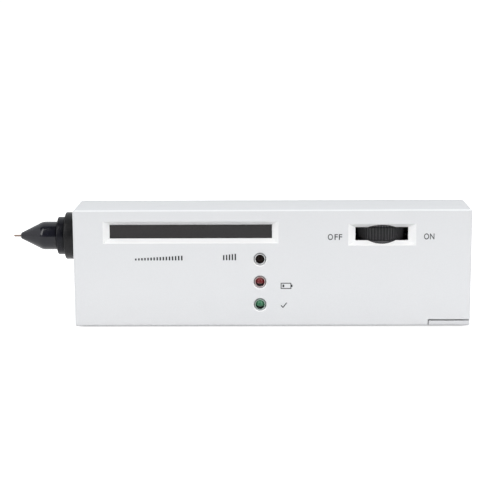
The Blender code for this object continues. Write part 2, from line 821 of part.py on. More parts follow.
def make_rear_cover():
    cover = housing_block("rear_cover", PARTS, HOUSING)
    before_cover = box(
        "before_cover",
        (LEFT - OVERRUN, FRONT - OVERRUN, -OVERRUN),
        (RIGHT + OVERRUN, INNER_BACK, BODY_HEIGHT + OVERRUN),
        HELPERS,
    )
    cut(cover, before_cover)
    lip_low = WALL + CLEARANCE
    lip_high = INNER_TOP - CLEARANCE
    lip_left = LEFT + WALL + CLEARANCE
    lip_front = INNER_BACK - LIP_HEIGHT
    lip_back = INNER_BACK + EMBED
    lips = boxes(
        "cover_lips",
        [
            ((lip_left, lip_front, lip_low),
             (lip_left + LIP_THICKNESS, lip_back, lip_high)),
            ((lip_left + LIP_THICKNESS - EMBED, lip_front, lip_low),
             (PARTITION_LEFT - CLEARANCE, lip_back, lip_low + LIP_THICKNESS)),
            ((lip_left + LIP_THICKNESS - EMBED, lip_front, lip_high - LIP_THICKNESS),
             (RIGHT - WALL - CLEARANCE, lip_back, lip_high)),
        ],
    )
    for number, lip in enumerate(split_boxes(lips), 1):
        join(cover, lip)
    boss_front = INNER_BACK - COVER_BOSS_HEIGHT
    head_seat = BACK - CASE_SCREW_SINK - CASE_SCREW_HEAD - CLEARANCE
    for number, (x, z) in enumerate(CASE_BOSSES, 1):
        boss = cylinder(
            f"cover_boss_{number}", COVER_BOSS_RADIUS,
            (x, boss_front, z), (x, INNER_BACK + EMBED, z), ROUND_SIDES, HELPERS,
        )
        shank_hole = cylinder(
            f"shank_hole_{number}", CASE_SCREW_RADIUS + CLEARANCE,
            (x, boss_front - OVERRUN, z), (x, BACK + OVERRUN, z), SMALL_SIDES, HELPERS,
        )
        head_hole = cylinder(
            f"head_hole_{number}", CASE_SCREW_HEAD_RADIUS + CLEARANCE,
            (x, head_seat, z), (x, BACK + OVERRUN, z), ROUND_SIDES, HELPERS,
        )
        join(cover, boss)
        cut(cover, shank_hole, head_hole)
    cut(cover, GROOVES, NOTCH)


def split_boxes(group):
    """The boxes of one helper as helpers of their own, so that overlapping ones can be joined in turn."""
    pieces = []
    corners = [corner.co.copy() for corner in group.data.vertices]
    for number, first in enumerate(range(0, len(corners), 8), 1):
        points = corners[first:first + 8]
        low = [min(point[axis] for point in points) for axis in range(3)]
        high = [max(point[axis] for point in points) for axis in range(3)]
        pieces.append(box(f"{group.name}_{number}", low, high, HELPERS))
    bpy.data.objects.remove(group, do_unlink=True)
    return pieces


def make_battery_door():
    """Foot, end plate and tongues as one moulding, with finger grooves on the outside."""
    door = housing_block("battery_door", PARTS, HOUSING)
    foot_room = box(
        "foot_room",
        (RIGHT - FOOT_LENGTH + CLEARANCE, FRONT - OVERRUN, -OVERRUN),
        (PLATE_OUTSIDE, BACK + OVERRUN, FOOT_NOTCH_HEIGHT - CLEARANCE),
        HELPERS,
    )
    combine(door, foot_room, "INTERSECT")
    plate = box(
        "door_plate",
        (PLATE_INSIDE, INNER_FRONT + CLEARANCE, FOOT_NOTCH_HEIGHT - CLEARANCE - EMBED),
        (PLATE_OUTSIDE, INNER_BACK - CLEARANCE, DOOR_TOP),
        HELPERS,
    )
    tongues = box(
        "door_tongues",
        (PLATE_INSIDE, INNER_FRONT - GROOVE_DEPTH + CLEARANCE, FOOT_NOTCH_HEIGHT - CLEARANCE - EMBED),
        (PLATE_INSIDE + TONGUE_THICKNESS, INNER_BACK + GROOVE_DEPTH - CLEARANCE, DOOR_TOP),
        HELPERS,
    )
    join(door, plate, tongues)
    lowest_grip = FOOT_NOTCH_HEIGHT + GRIP_ABOVE_FOOT
    grips = boxes(
        "finger_grooves",
        [
            ((PLATE_OUTSIDE - GRIP_DEPTH, BATTERY_Y - GRIP_LENGTH / 2, lowest_grip + row * GRIP_PITCH),
             (PLATE_OUTSIDE + OVERRUN, BATTERY_Y + GRIP_LENGTH / 2,
              lowest_grip + row * GRIP_PITCH + GRIP_WIDTH))
            for row in range(GRIP_COUNT)
        ],
    )
    cut(door, grips)
    carry(axis_empty("door_slide_axis", (PLATE_OUTSIDE, BATTERY_Y, 0)), door)


def make_window():
    """The smoked lens, the block of light channels behind it and one lamp at the end of each."""
    low_x, high_x = WINDOW_X - LENS_HALF_LENGTH, WINDOW_X + LENS_HALF_LENGTH
    low_z, high_z = WINDOW_Z - LENS_HALF_HEIGHT, WINDOW_Z + LENS_HALF_HEIGHT
    box("window_lens", (low_x, LENS_FRONT, low_z), (high_x, LENS_BACK, high_z), PARTS, SMOKED)
    baffle_front = LENS_BACK + CLEARANCE
    baffle = box(
        "light_baffle", (low_x, baffle_front, low_z), (high_x, BOARD_SEAT, high_z), PARTS, WHITE_PLASTIC
    )
    centres = [WINDOW_X + (number - (BAR_LED_COUNT - 1) / 2) * BAR_PITCH
               for number in range(BAR_LED_COUNT)]
    half_channel = (BAR_PITCH - BAFFLE_WEB) / 2
    channels = boxes(
        "light_channels",
        [
            ((x - half_channel, baffle_front - OVERRUN, WINDOW_Z - WINDOW_HEIGHT / 2),
             (x + half_channel, BOARD_SEAT + OVERRUN, WINDOW_Z + WINDOW_HEIGHT / 2))
            for x in centres
        ],
    )
    cut(baffle, channels)
    for number, x in enumerate(centres, 1):
        lamp = box(
            f"bar_led_{number:02d}",
            (x - BAR_LED_WIDTH / 2, BOARD_SEAT - BAR_LED_THICKNESS, WINDOW_Z - BAR_LED_HEIGHT / 2),
            (x + BAR_LED_WIDTH / 2, BOARD_SEAT, WINDOW_Z + BAR_LED_HEIGHT / 2),
            PARTS, BAR_LAMP,
        )
        round_edges(lamp, BAR_LED_BEVEL, 1)


def make_status_lamps():
    """Three 3 mm lamps: a domed bullet with a flange and two legs, on a tube that stands on the board."""
    surfaces = {"dark": DARK_LAMP, "red": RED_LAMP, "green": GREEN_LAMP}
    dome_steps = 4
    for (colour, surface), height in zip(surfaces.items(), LED_HEIGHTS):
        dome = [
            (LED_RADIUS * math.sin(step / dome_steps * math.pi / 2),
             LED_LENGTH - LED_RADIUS + LED_RADIUS * math.cos(step / dome_steps * math.pi / 2))
            for step in range(dome_steps + 1)
        ]
        profile = dome + [
            (LED_RADIUS, LED_FLANGE), (LED_FLANGE_RADIUS, LED_FLANGE), (LED_FLANGE_RADIUS, 0), (0, 0),
        ]
        lamp = turned(
            f"status_led_{colour}", profile, (LED_X, LED_BASE, height), (0, -1, 0), ROUND_SIDES, surface
        )
        legs = boxes(
            f"lamp_legs_{colour}",
            [
                ((LED_X + side * LED_LEG_PITCH / 2 - LED_LEG / 2, LED_BASE - EMBED, height - LED_LEG / 2),
                 (LED_X + side * LED_LEG_PITCH / 2 + LED_LEG / 2, BOARD_SEAT, height + LED_LEG / 2))
                for side in (-1, 1)
            ],
        )
        join(lamp, legs)
        high = BOARD_SEAT - LED_BASE - CLEARANCE
        turned(
            f"led_spacer_{colour}",
            [(SPACER_RADIUS, high), (SPACER_RADIUS, 0), (SPACER_BORE, 0), (SPACER_BORE, high)],
            (LED_X, BOARD_SEAT, height), (0, -1, 0), ROUND_SIDES, WHITE_PLASTIC, closed=True,
        )


def make_thumbwheel():
    """The ridged wheel, dished on both sides, on the spindle of the rotary control above it."""
    wheel = box(
        "thumbwheel",
        (WHEEL_X - WHEEL_RADIUS, WHEEL_Y - WHEEL_RADIUS, WHEEL_BOTTOM),
        (WHEEL_X + WHEEL_RADIUS, WHEEL_Y + WHEEL_RADIUS, WHEEL_TOP),
        PARTS, RUBBED_BLACK,
    )
    wheel.data = ridged_disc("thumbwheel")
    wheel.data.materials.append(RUBBED_BLACK)
    half = WHEEL_THICKNESS / 2
    centre = (WHEEL_X, WHEEL_Y, WHEEL_MIDDLE)
    end, rim = half + OVERRUN, WHEEL_RADIUS + OVERRUN
    narrow = WHEEL_RADIUS - WHEEL_CHAMFER - OVERRUN
    wide = half - WHEEL_CHAMFER - OVERRUN
    soft_rim = turned(
        "chamfered_rim",
        [(0, end), (narrow, end), (rim, wide), (rim, -wide), (narrow, -end), (0, -end)],
        centre, (0, 0, 1), 4 * ROUND_SIDES, RUBBED_BLACK,
    )
    make_helper(soft_rim)
    combine(wheel, soft_rim, "INTERSECT")
    dish_radius = WHEEL_RADIUS - WHEEL_RIM
    underside = cylinder(
        "wheel_underside", dish_radius,
        (WHEEL_X, WHEEL_Y, WHEEL_BOTTOM - OVERRUN), (WHEEL_X, WHEEL_Y, WHEEL_BOTTOM + WHEEL_DISH),
        2 * ROUND_SIDES, HELPERS,
    )
    upper_dish = turned(
        "wheel_upper_dish",
        [(dish_radius, half + OVERRUN), (dish_radius, half - WHEEL_DISH),
         (WHEEL_HUB_RADIUS, half - WHEEL_DISH), (WHEEL_HUB_RADIUS, half + OVERRUN)],
        centre, (0, 0, 1), 2 * ROUND_SIDES, RUBBED_BLACK, closed=True,
    )
    make_helper(upper_dish)
    bore = cylinder(
        "wheel_bore", SPINDLE_RADIUS + CLEARANCE,
        (WHEEL_X, WHEEL_Y, WHEEL_BOTTOM - OVERRUN), (WHEEL_X, WHEEL_Y, WHEEL_TOP + OVERRUN),
        ROUND_SIDES, HELPERS,
    )
    cut(wheel, underside, upper_dish, bore)
    hub_bottom = WHEEL_BOTTOM + WHEEL_DISH
    low, high = hub_bottom - WHEEL_MIDDLE, POT_TOP - CLEARANCE - WHEEL_MIDDLE
    spindle = turned(
        "wheel_spindle",
        [(0, high), (SPINDLE_RADIUS, high), (SPINDLE_RADIUS, low), (SPINDLE_BORE, low),
         (SPINDLE_BORE, low + WHEEL_SCREW_LENGTH), (0, low + WHEEL_SCREW_LENGTH)],
        centre, (0, 0, 1), ROUND_SIDES, STEEL,
    )
    head_top = low - CLEARANCE
    head_bottom = head_top - WHEEL_SCREW_HEAD
    shank_end = low + WHEEL_SCREW_LENGTH - CLEARANCE
    screw = turned(
        "wheel_screw",
        [(0, shank_end), (WHEEL_SCREW_RADIUS, shank_end), (WHEEL_SCREW_RADIUS, head_top),
         (WHEEL_SCREW_HEAD_RADIUS, head_top), (WHEEL_SCREW_HEAD_RADIUS, head_bottom), (0, head_bottom)],
        centre, (0, 0, 1), SMALL_SIDES, STEEL,
    )
    carry(axis_empty("thumbwheel_axis", centre), wheel, spindle, screw)
    make_pot_body()


def make_helper(obj):
    PARTS.objects.unlink(obj)
    HELPERS.objects.link(obj)
    obj.hide_render = True
    obj.display_type = "WIRE"


def ridged_disc(name):
    """A disc whose rim has upright ridges: flat crowns with shallow grooves between them."""
    corners_per_ridge = 4

    def build(shape):
        bmesh.ops.create_cone(
            shape, cap_ends=True, segments=WHEEL_RIDGES * corners_per_ridge,
            radius1=WHEEL_RADIUS, radius2=WHEEL_RADIUS, depth=WHEEL_THICKNESS,
        )
        step = 2 * math.pi / (WHEEL_RIDGES * corners_per_ridge)
        for corner in shape.verts:
            turn = math.atan2(corner.co.y, corner.co.x) % (2 * math.pi)
            place = round(turn / step) % corners_per_ridge
            crown = place in (0, 1)
            radius = WHEEL_RADIUS if crown else WHEEL_RADIUS - RIDGE_HEIGHT
            ridge = round(turn / step) // corners_per_ridge
            start_share = (0, RIDGE_CROWN_SHARE, RIDGE_CROWN_SHARE + (1 - RIDGE_CROWN_SHARE) / 3,
                           1 - (1 - RIDGE_CROWN_SHARE) / 3)[place]
            angle = (ridge + start_share) * corners_per_ridge * step
            corner.co.x = radius * math.cos(angle)
            corner.co.y = radius * math.sin(angle)

    return mesh_of(name, build)


def make_pot_body():
    """The flat rotary control with its switch, over the wheel, reaching back to the board."""
    radius = WHEEL_Y - INNER_FRONT - WHEEL_CLEARANCE
    pot = cylinder(
        "pot_body", radius, (WHEEL_X, WHEEL_Y, POT_BOTTOM), (WHEEL_X, WHEEL_Y, POT_TOP),
        2 * ROUND_SIDES, PARTS, BLACK_PLASTIC,
    )
    tail = box(
        "pot_tail",
        (WHEEL_X - POT_TAIL_WIDTH / 2, WHEEL_Y, POT_BOTTOM),
        (WHEEL_X + POT_TAIL_WIDTH / 2, BOARD_SEAT, POT_TOP),
        HELPERS,
    )
    bore = cylinder(
        "pot_bore", SPINDLE_RADIUS + CLEARANCE,
        (WHEEL_X, WHEEL_Y, POT_BOTTOM - OVERRUN), (WHEEL_X, WHEEL_Y, POT_TOP + OVERRUN),
        ROUND_SIDES, HELPERS,
    )
    join(pot, tail)
    cut(pot, bore)


def rounded(before, corner, after, steps=3):
    """Profile points round a corner, from the point before it to the point after it."""
    points = []
    for step in range(steps + 1):
        share = step / steps
        points.append(tuple(
            (1 - share) ** 2 * a + 2 * share * (1 - share) * b + share ** 2 * c
            for a, b, c in zip(before, corner, after)
        ))
    return points


def on_nose(name, profile, surface, sides=NOSE_SIDES, closed=False):
    """A turned piece of the nose. Its distances count outwards from the end wall."""
    return turned(name, profile, NOSE_AXIS, OUTWARDS, sides, surface, closed)


def make_nose():
    chamfer = NOSE_CHAMFER
    spigot_end = FLANGE_LENGTH + SPIGOT_LENGTH
    on_nose(
        "nose_base",
        [
            (SPIGOT_RADIUS, spigot_end), (SPIGOT_RADIUS, FLANGE_LENGTH),
            (FLANGE_RADIUS - chamfer, FLANGE_LENGTH), (FLANGE_RADIUS, FLANGE_LENGTH - chamfer),
            (FLANGE_RADIUS, CLEARANCE), (SLEEVE_RADIUS, CLEARANCE),
            (SLEEVE_RADIUS, -SLEEVE_LENGTH), (SPIGOT_BORE, -SLEEVE_LENGTH), (SPIGOT_BORE, spigot_end),
        ],
        BLACK_PLASTIC, closed=True,
    )
    ring_end = RING_START + RING_LENGTH
    on_nose(
        "nose_ring",
        [
            (RING_RADIUS - chamfer, ring_end), (RING_RADIUS, ring_end - chamfer),
            (RING_RADIUS, RING_START), (CAP_BORE, RING_START), (CAP_BORE, ring_end),
        ],
        BLACK_PLASTIC, closed=True,
    )
    taper = (BARREL_RADIUS - CONE_TIP_RADIUS) / CONE_LENGTH
    tip = rounded(
        (CONE_TIP_RADIUS - CONE_TIP_ROUNDING, CONE_END),
        (CONE_TIP_RADIUS, CONE_END),
        (CONE_TIP_RADIUS + CONE_TIP_ROUNDING * taper, CONE_END - CONE_TIP_ROUNDING),
        2,
    )
    shoulder = rounded(
        (BARREL_RADIUS - CONE_SHOULDER * taper, CONE_START + CONE_SHOULDER),
        (BARREL_RADIUS, CONE_START),
        (BARREL_RADIUS, CONE_START - CONE_SHOULDER),
    )
    on_nose(
        "nose_cap",
        tip + shoulder + [
            (BARREL_RADIUS, CAP_START), (CAP_BORE, CAP_START), (CAP_BORE, STOP),
            (CONE_BORE, STOP), (NEEDLE_HOLE, CONE_END),
        ],
        BLACK_PLASTIC, closed=True,
    )
    wall_inside = -WALL - CLEARANCE
    nut = cylinder(
        "nose_nut", NUT_RADIUS,
        NOSE_AXIS + OUTWARDS * (wall_inside - NUT_LENGTH), NOSE_AXIS + OUTWARDS * wall_inside,
        6, PARTS, BLACK_PLASTIC,
    )
    nut_bore = cylinder(
        "nut_bore", SLEEVE_RADIUS + CLEARANCE,
        NOSE_AXIS + OUTWARDS * (wall_inside - NUT_LENGTH - OVERRUN), NOSE_AXIS + OUTWARDS * OVERRUN,
        NOSE_SIDES, HELPERS,
    )
    cut(nut, nut_bore)


def make_probe():
    """Needle, its sprung carrier with the heating sleeve, the spring and the plug behind it."""
    tip = CONE_END + NEEDLE_REACH
    rod_end = SHOULDER_FRONT + ROD_LENGTH
    needle_end = rod_end - NEEDLE_SEAT + CLEARANCE
    needle = on_nose(
        "probe_needle",
        [(0, tip), (NEEDLE_POINT_RADIUS, tip), (NEEDLE_RADIUS, tip - NEEDLE_POINT),
         (NEEDLE_RADIUS, needle_end), (0, needle_end)],
        COPPER, SMALL_SIDES,
    )
    shoulder_radius = CAP_BORE - SHOULDER_CLEARANCE
    plunger = on_nose(
        "probe_plunger",
        [(0, rod_end - NEEDLE_SEAT), (NEEDLE_BORE, rod_end - NEEDLE_SEAT), (NEEDLE_BORE, rod_end),
         (ROD_RADIUS, rod_end), (ROD_RADIUS, SHOULDER_FRONT), (shoulder_radius, SHOULDER_FRONT),
         (shoulder_radius, SHOULDER_BACK), (STEM_RADIUS, SHOULDER_BACK), (STEM_RADIUS, STEM_END),
         (0, STEM_END)],
        BRASS, ROUND_SIDES,
    )
    heater_low = SHOULDER_FRONT + CLEARANCE
    heater_high = heater_low + HEATER_LENGTH
    heater_bore = ROD_RADIUS + CLEARANCE
    heater = on_nose(
        "probe_heater",
        [(heater_bore + HEATER_WALL, heater_high), (heater_bore + HEATER_WALL, heater_low),
         (heater_bore, heater_low), (heater_bore, heater_high)],
        WHITE_PLASTIC, ROUND_SIDES, closed=True,
    )
    carry(axis_empty("probe_axis", NOSE_AXIS), needle, plunger, heater)
    retainer_end = SPRING_SEAT_DEPTH
    retainer_radius = SPIGOT_BORE - CLEARANCE
    on_nose(
        "probe_retainer",
        [(0, retainer_end), (retainer_radius, retainer_end),
         (retainer_radius, -SLEEVE_LENGTH - RETAINER_STANDS_OUT), (0, -SLEEVE_LENGTH - RETAINER_STANDS_OUT)],
        WHITE_PLASTIC, ROUND_SIDES,
    )
    make_spring(retainer_end + CLEARANCE, SHOULDER_BACK - CLEARANCE)


def make_spring(start, end):
    """An open coil round the carrier's stem, from the plug to the carrier's shoulder."""
    coil_radius = SPIGOT_BORE - SPRING_BORE_CLEARANCE - SPRING_WIRE_RADIUS
    low, high = start + SPRING_WIRE_RADIUS, end - SPRING_WIRE_RADIUS
    steps = SPRING_TURNS * SPRING_POINTS
    points = []
    for step in range(steps + 1):
        turn = 2 * math.pi * step / SPRING_POINTS
        along = low + (high - low) * step / steps
        points.append(NOSE_AXIS + OUTWARDS * along
                      + Vector((0, math.cos(turn), math.sin(turn))) * coil_radius)
    tube("probe_spring", points, SPRING_WIRE_RADIUS, STEEL, 1)
    pitch = (high - low) / SPRING_TURNS
    print(f"probe_spring: least gap between turns {(pitch - 2 * SPRING_WIRE_RADIUS) * 1000:.2f} mm")


def make_battery():
    half_depth = BATTERY_DEPTH / 2
    can = box(
        "battery_can",
        (BATTERY_LEFT, BATTERY_Y - half_depth, BATTERY_TOP - BATTERY_WIDTH),
        (BATTERY_RIGHT, BATTERY_Y + half_depth, BATTERY_TOP),
        PARTS, BATTERY_SKIN,
    )
    round_edges(can, BATTERY_CORNER, 2)
    foot = BATTERY_LEFT - CLEARANCE
    plus = Vector((foot, BATTERY_Y, BATTERY_MIDDLE + STUD_PITCH / 2))
    minus = Vector((foot, BATTERY_Y, BATTERY_MIDDLE - STUD_PITCH / 2))
    height = STUD_HEIGHT - CLEARANCE
    cylinder("battery_terminal_plus", PLUS_STUD_RADIUS, plus, plus + OUTWARDS * height,
             SMALL_SIDES, PARTS, STEEL)
    turned(
        "battery_terminal_minus",
        [(MINUS_STUD_RADIUS, height), (MINUS_STUD_RADIUS, 0), (MINUS_STUD_BORE, 0),
         (MINUS_STUD_BORE, height)],
        minus, OUTWARDS, SMALL_SIDES, STEEL, closed=True,
    )
    snap_right = BATTERY_LEFT - CLEARANCE
    snap = box(
        "battery_snap",
        (SNAP_LEFT, BATTERY_Y - SNAP_DEPTH / 2, BATTERY_TOP - BATTERY_WIDTH),
        (snap_right, BATTERY_Y + SNAP_DEPTH / 2, BATTERY_TOP),
        PARTS, BLACK_PLASTIC,
    )
    round_edges(snap, SNAP_CORNER, 2)
    for name, place, radius in (
        ("plus_socket", plus, PLUS_STUD_RADIUS),
        ("minus_socket", minus, MINUS_STUD_RADIUS),
    ):
        socket = cylinder(
            name, radius + CLEARANCE, place - OUTWARDS * OVERRUN,
            place + OUTWARDS * (height + CLEARANCE), ROUND_SIDES, HELPERS,
        )
        cut(snap, socket)


def make_board():
    """The board's main field with a tongue over the battery that carries the rotary control."""
    tongue_bottom = WHEEL_BOTTOM + BOARD_EDGE_GAP
    board = flat_outline(
        "circuit_board",
        [
            (BOARD_LEFT, BOARD_BOTTOM), (BOARD_RIGHT, BOARD_BOTTOM), (BOARD_RIGHT, tongue_bottom),
            (TONGUE_END, tongue_bottom), (TONGUE_END, BOARD_TOP), (BOARD_LEFT, BOARD_TOP),
        ],
        BOARD_FRONT, BOARD_BACK, BOARD_DARK,
    )
    for number, (x, z) in enumerate(CASE_BOSSES, 1):
        if BOARD_LEFT < x < TONGUE_END:
            cut(board, cylinder(
                f"board_boss_hole_{number}", COVER_BOSS_RADIUS + BOARD_BOSS_GAP,
                (x, BOARD_FRONT - OVERRUN, z), (x, BOARD_BACK + OVERRUN, z), ROUND_SIDES, HELPERS,
            ))
    for number, (x, z) in enumerate(BOARD_POSTS, 1):
        cut(board, cylinder(
            f"board_screw_hole_{number}", BOARD_SCREW_RADIUS + CLEARANCE,
            (x, BOARD_FRONT - OVERRUN, z), (x, BOARD_BACK + OVERRUN, z), SMALL_SIDES, HELPERS,
        ))


def make_chip(name, x, z, length, legs_a_side):
    """A dual in-line chip: a moulded body with a row of flat legs down each long side."""
    half_length = length / 2
    bottom = BOARD_SEAT - CHIP_STANDOFF
    chip = box(
        name,
        (x - half_length, bottom - CHIP_HEIGHT, z - CHIP_WIDTH / 2),
        (x + half_length, bottom, z + CHIP_WIDTH / 2),
        PARTS, CHIP_BLACK,
    )
    round_edges(chip, PART_EDGE, 1)
    corners = []
    for side in (-1, 1):
        inside = z + side * (CHIP_WIDTH / 2 - EMBED)
        outside = z + side * (CHIP_WIDTH / 2 + LEG_OUT)
        for number in range(legs_a_side):
            leg_x = x + (number - (legs_a_side - 1) / 2) * LEG_PITCH
            corners.append((
                (leg_x - LEG_WIDTH / 2, bottom - CHIP_HEIGHT / 2, min(inside, outside)),
                (leg_x + LEG_WIDTH / 2, BOARD_SEAT, max(inside, outside)),
            ))
    join(chip, boxes(name + "_legs", corners))


def make_board_parts():
    make_chip("driver_chip", DRIVER_CHIP_X, UPPER_ROW, DRIVER_CHIP_LENGTH, DRIVER_LEGS)
    make_chip("sensor_chip", SENSOR_CHIP_X, LOW_ROW, SENSOR_CHIP_LENGTH, SENSOR_LEGS)
    turned(
        "buzzer",
        [(0, BUZZER_HEIGHT - BUZZER_HOLE_DEPTH), (BUZZER_HOLE_RADIUS, BUZZER_HEIGHT - BUZZER_HOLE_DEPTH),
         (BUZZER_HOLE_RADIUS, BUZZER_HEIGHT), (BUZZER_RADIUS - PART_EDGE, BUZZER_HEIGHT),
         (BUZZER_RADIUS, BUZZER_HEIGHT - PART_EDGE), (BUZZER_RADIUS, 0), (0, 0)],
        (BUZZER_X, BOARD_SEAT, LOW_ROW), (0, -1, 0), ROUND_SIDES, CHIP_BLACK,
    )
    neck = CAPACITOR_HEIGHT * CAPACITOR_NECK_SHARE
    turned(
        "capacitor",
        [(0, CAPACITOR_HEIGHT), (CAPACITOR_RADIUS - PART_EDGE, CAPACITOR_HEIGHT),
         (CAPACITOR_RADIUS, CAPACITOR_HEIGHT - PART_EDGE), (CAPACITOR_RADIUS, neck + CAPACITOR_NECK),
         (CAPACITOR_RADIUS - CAPACITOR_NECK, neck), (CAPACITOR_RADIUS, neck - CAPACITOR_NECK),
         (CAPACITOR_RADIUS, 0), (0, 0)],
        (CAPACITOR_X, BOARD_SEAT, LOW_ROW), (0, -1, 0), ROUND_SIDES, BATTERY_SKIN,
    )
    x, z = TRIMMER_X, LOW_ROW
    trimmer = box(
        "trimmer",
        (x - TRIMMER_SIZE / 2, BOARD_SEAT - TRIMMER_HEIGHT, z - TRIMMER_SIZE / 2),
        (x + TRIMMER_SIZE / 2, BOARD_SEAT, z + TRIMMER_SIZE / 2),
        PARTS, TRIMMER_BLUE,
    )
    round_edges(trimmer, PART_EDGE, 1)
    cut(trimmer, cylinder(
        "trimmer_recess", TRIMMER_ROTOR_RADIUS,
        (x, BOARD_SEAT - TRIMMER_HEIGHT - OVERRUN, z),
        (x, BOARD_SEAT - TRIMMER_HEIGHT + TRIMMER_ROTOR_RECESS, z), SMALL_SIDES, HELPERS,
    ))


def make_screw(name, x, z, head_outside, head, head_radius, shank_radius, shank_end):
    """A pan-headed screw driven from behind. Distances count from the head's outer face inwards."""
    length = head_outside - shank_end
    edge = head / 3
    turned(
        name,
        [(0, 0), (head_radius - edge, 0), (head_radius, -edge), (head_radius, -head),
         (shank_radius, -head), (shank_radius, -length + shank_radius), (0, -length)],
        (x, head_outside, z), (0, 1, 0), SMALL_SIDES, STEEL,
    )


def make_fasteners():
    boss_end = INNER_BACK - COVER_BOSS_HEIGHT - CLEARANCE
    for number, (x, z) in enumerate(CASE_BOSSES, 1):
        make_screw(
            f"case_screw_{number}", x, z, BACK - CASE_SCREW_SINK, CASE_SCREW_HEAD,
            CASE_SCREW_HEAD_RADIUS, CASE_SCREW_RADIUS, boss_end - CASE_SCREW_LENGTH + CLEARANCE,
        )
    for number, (x, z) in enumerate(BOARD_POSTS, 1):
        make_screw(
            f"board_screw_{number}", x, z, BOARD_BACK + CLEARANCE + BOARD_SCREW_HEAD, BOARD_SCREW_HEAD,
            BOARD_SCREW_HEAD_RADIUS, BOARD_SCREW_RADIUS, BOARD_SEAT - BOARD_SCREW_LENGTH + CLEARANCE,
        )


def make_leads():
    """Two leads from the probe's plug to the board, and two from the battery snap to the board."""
    plug = NOSE_AXIS - OUTWARDS * (SLEEVE_LENGTH + RETAINER_STANDS_OUT + CLEARANCE)
    post_z = BOARD_POSTS[0][1]
    for letter, side in (("a", 1), ("b", -1)):
        start = plug + Vector((0, 0, side * LEAD_SPACING / 2))
        landing_z = post_z + (1 + side) * LEAD_SPACING / 2
        end = Vector((BOARD_LEFT + LEAD_SPACING / 2, BOARD_SEAT, landing_z))
        points = bend(start, (LEAD_SPACING, 0, 0), end, (0, -LEAD_SPACING * 2, 0))
        tube(f"probe_lead_{letter}", points, LEAD_RADIUS, BLACK_LEAD)
    landing_x = BOARD_RIGHT - LEAD_LANDING_INSET
    gate_y = SEAM - WIRE_NOTCH_DEPTH / 2
    gate_x = (PARTITION_LEFT + PARTITION_RIGHT) / 2
    for name, side, surface in (("red", 1, RED_LEAD), ("black", -1, BLACK_LEAD)):
        height = BATTERY_MIDDLE + side * LEAD_SPACING / 2
        start = Vector((SNAP_LEFT - CLEARANCE, BATTERY_Y, height))
        gate = Vector((gate_x, gate_y - LEAD_SPACING / 2, height))
        end = Vector((landing_x, BOARD_SEAT, height))
        pull = LEAD_SPACING / 2
        first = bend(start, (-pull, 0, 0), gate, (pull, -pull, 0))
        second = bend(gate, (-pull, pull, 0), end, (0, -pull, 0))
        tube(f"battery_lead_{name}", first + second[1:], LEAD_RADIUS, surface)


make_front_case()
make_rear_cover()
make_battery_door()
make_window()
make_status_lamps()
make_thumbwheel()
make_nose()
make_probe()
make_battery()
make_board()
make_board_parts()
make_fasteners()
make_leads()

print(f"housing {BODY_LENGTH * 1000:.1f} x {BODY_DEPTH * 1000:.1f} x {BODY_HEIGHT * 1000:.1f} mm")
print(f"nose reaches {NOSE_REACH * 1000:.1f} mm out of the end wall")
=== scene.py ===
# %% [markdown]
# # A hand-held diamond tester
# The tester is a pale painted box that stands on its long narrow side, with a black stepped nose
# and a fine sprung needle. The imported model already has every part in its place, so it is loaded
# first and never moved. This lesson then gives the parts that show a finer shape and every part a
# finish.

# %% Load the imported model
import math

import bmesh
import bpy
from mathutils import Matrix, Vector


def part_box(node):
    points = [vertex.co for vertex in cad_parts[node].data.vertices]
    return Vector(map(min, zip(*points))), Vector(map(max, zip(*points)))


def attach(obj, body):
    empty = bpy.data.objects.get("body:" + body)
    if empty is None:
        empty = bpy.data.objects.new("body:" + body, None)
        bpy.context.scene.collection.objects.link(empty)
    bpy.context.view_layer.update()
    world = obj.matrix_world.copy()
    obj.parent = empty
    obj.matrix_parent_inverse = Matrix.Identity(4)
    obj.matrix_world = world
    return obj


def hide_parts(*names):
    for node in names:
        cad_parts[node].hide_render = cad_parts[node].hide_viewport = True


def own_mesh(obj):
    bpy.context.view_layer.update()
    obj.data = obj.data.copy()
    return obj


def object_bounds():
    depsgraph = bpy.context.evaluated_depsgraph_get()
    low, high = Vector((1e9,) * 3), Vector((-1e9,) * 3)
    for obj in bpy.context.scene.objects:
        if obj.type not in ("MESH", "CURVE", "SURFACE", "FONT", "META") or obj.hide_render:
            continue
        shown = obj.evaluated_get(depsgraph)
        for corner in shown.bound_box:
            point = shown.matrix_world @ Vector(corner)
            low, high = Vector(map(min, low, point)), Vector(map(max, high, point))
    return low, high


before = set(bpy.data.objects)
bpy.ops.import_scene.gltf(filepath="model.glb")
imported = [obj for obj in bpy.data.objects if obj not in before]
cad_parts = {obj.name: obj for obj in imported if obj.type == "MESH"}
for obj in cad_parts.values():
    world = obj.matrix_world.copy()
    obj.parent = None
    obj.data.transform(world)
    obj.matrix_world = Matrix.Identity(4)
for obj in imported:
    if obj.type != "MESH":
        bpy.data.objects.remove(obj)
cad_low, cad_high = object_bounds()
MM = 0.001


def in_mm(low, high):
    """The three sizes of a box in millimetres, for printing."""
    return [round((end - start) / MM, 1) for start, end in zip(low, high)]


print("model size in mm:", in_mm(cad_low, cad_high))

# %% [markdown]
# The camera stands half a metre in front of the tester and a little above it, with a long lens, so
# that the box hardly tapers. It could be aimed with a constraint, but plain turns keep the small
# tilt of a hand-held picture.

# %% Camera
CAMERA_PLACE = (0.00901, -0.49217, 0.11523)
CAMERA_TURNS = ((0.66324, "Z"), (-10.4756, "X"), (0.2676, "Y"), (90, "X"))
LENS_LENGTH, SENSOR_WIDTH = 104.17, 36

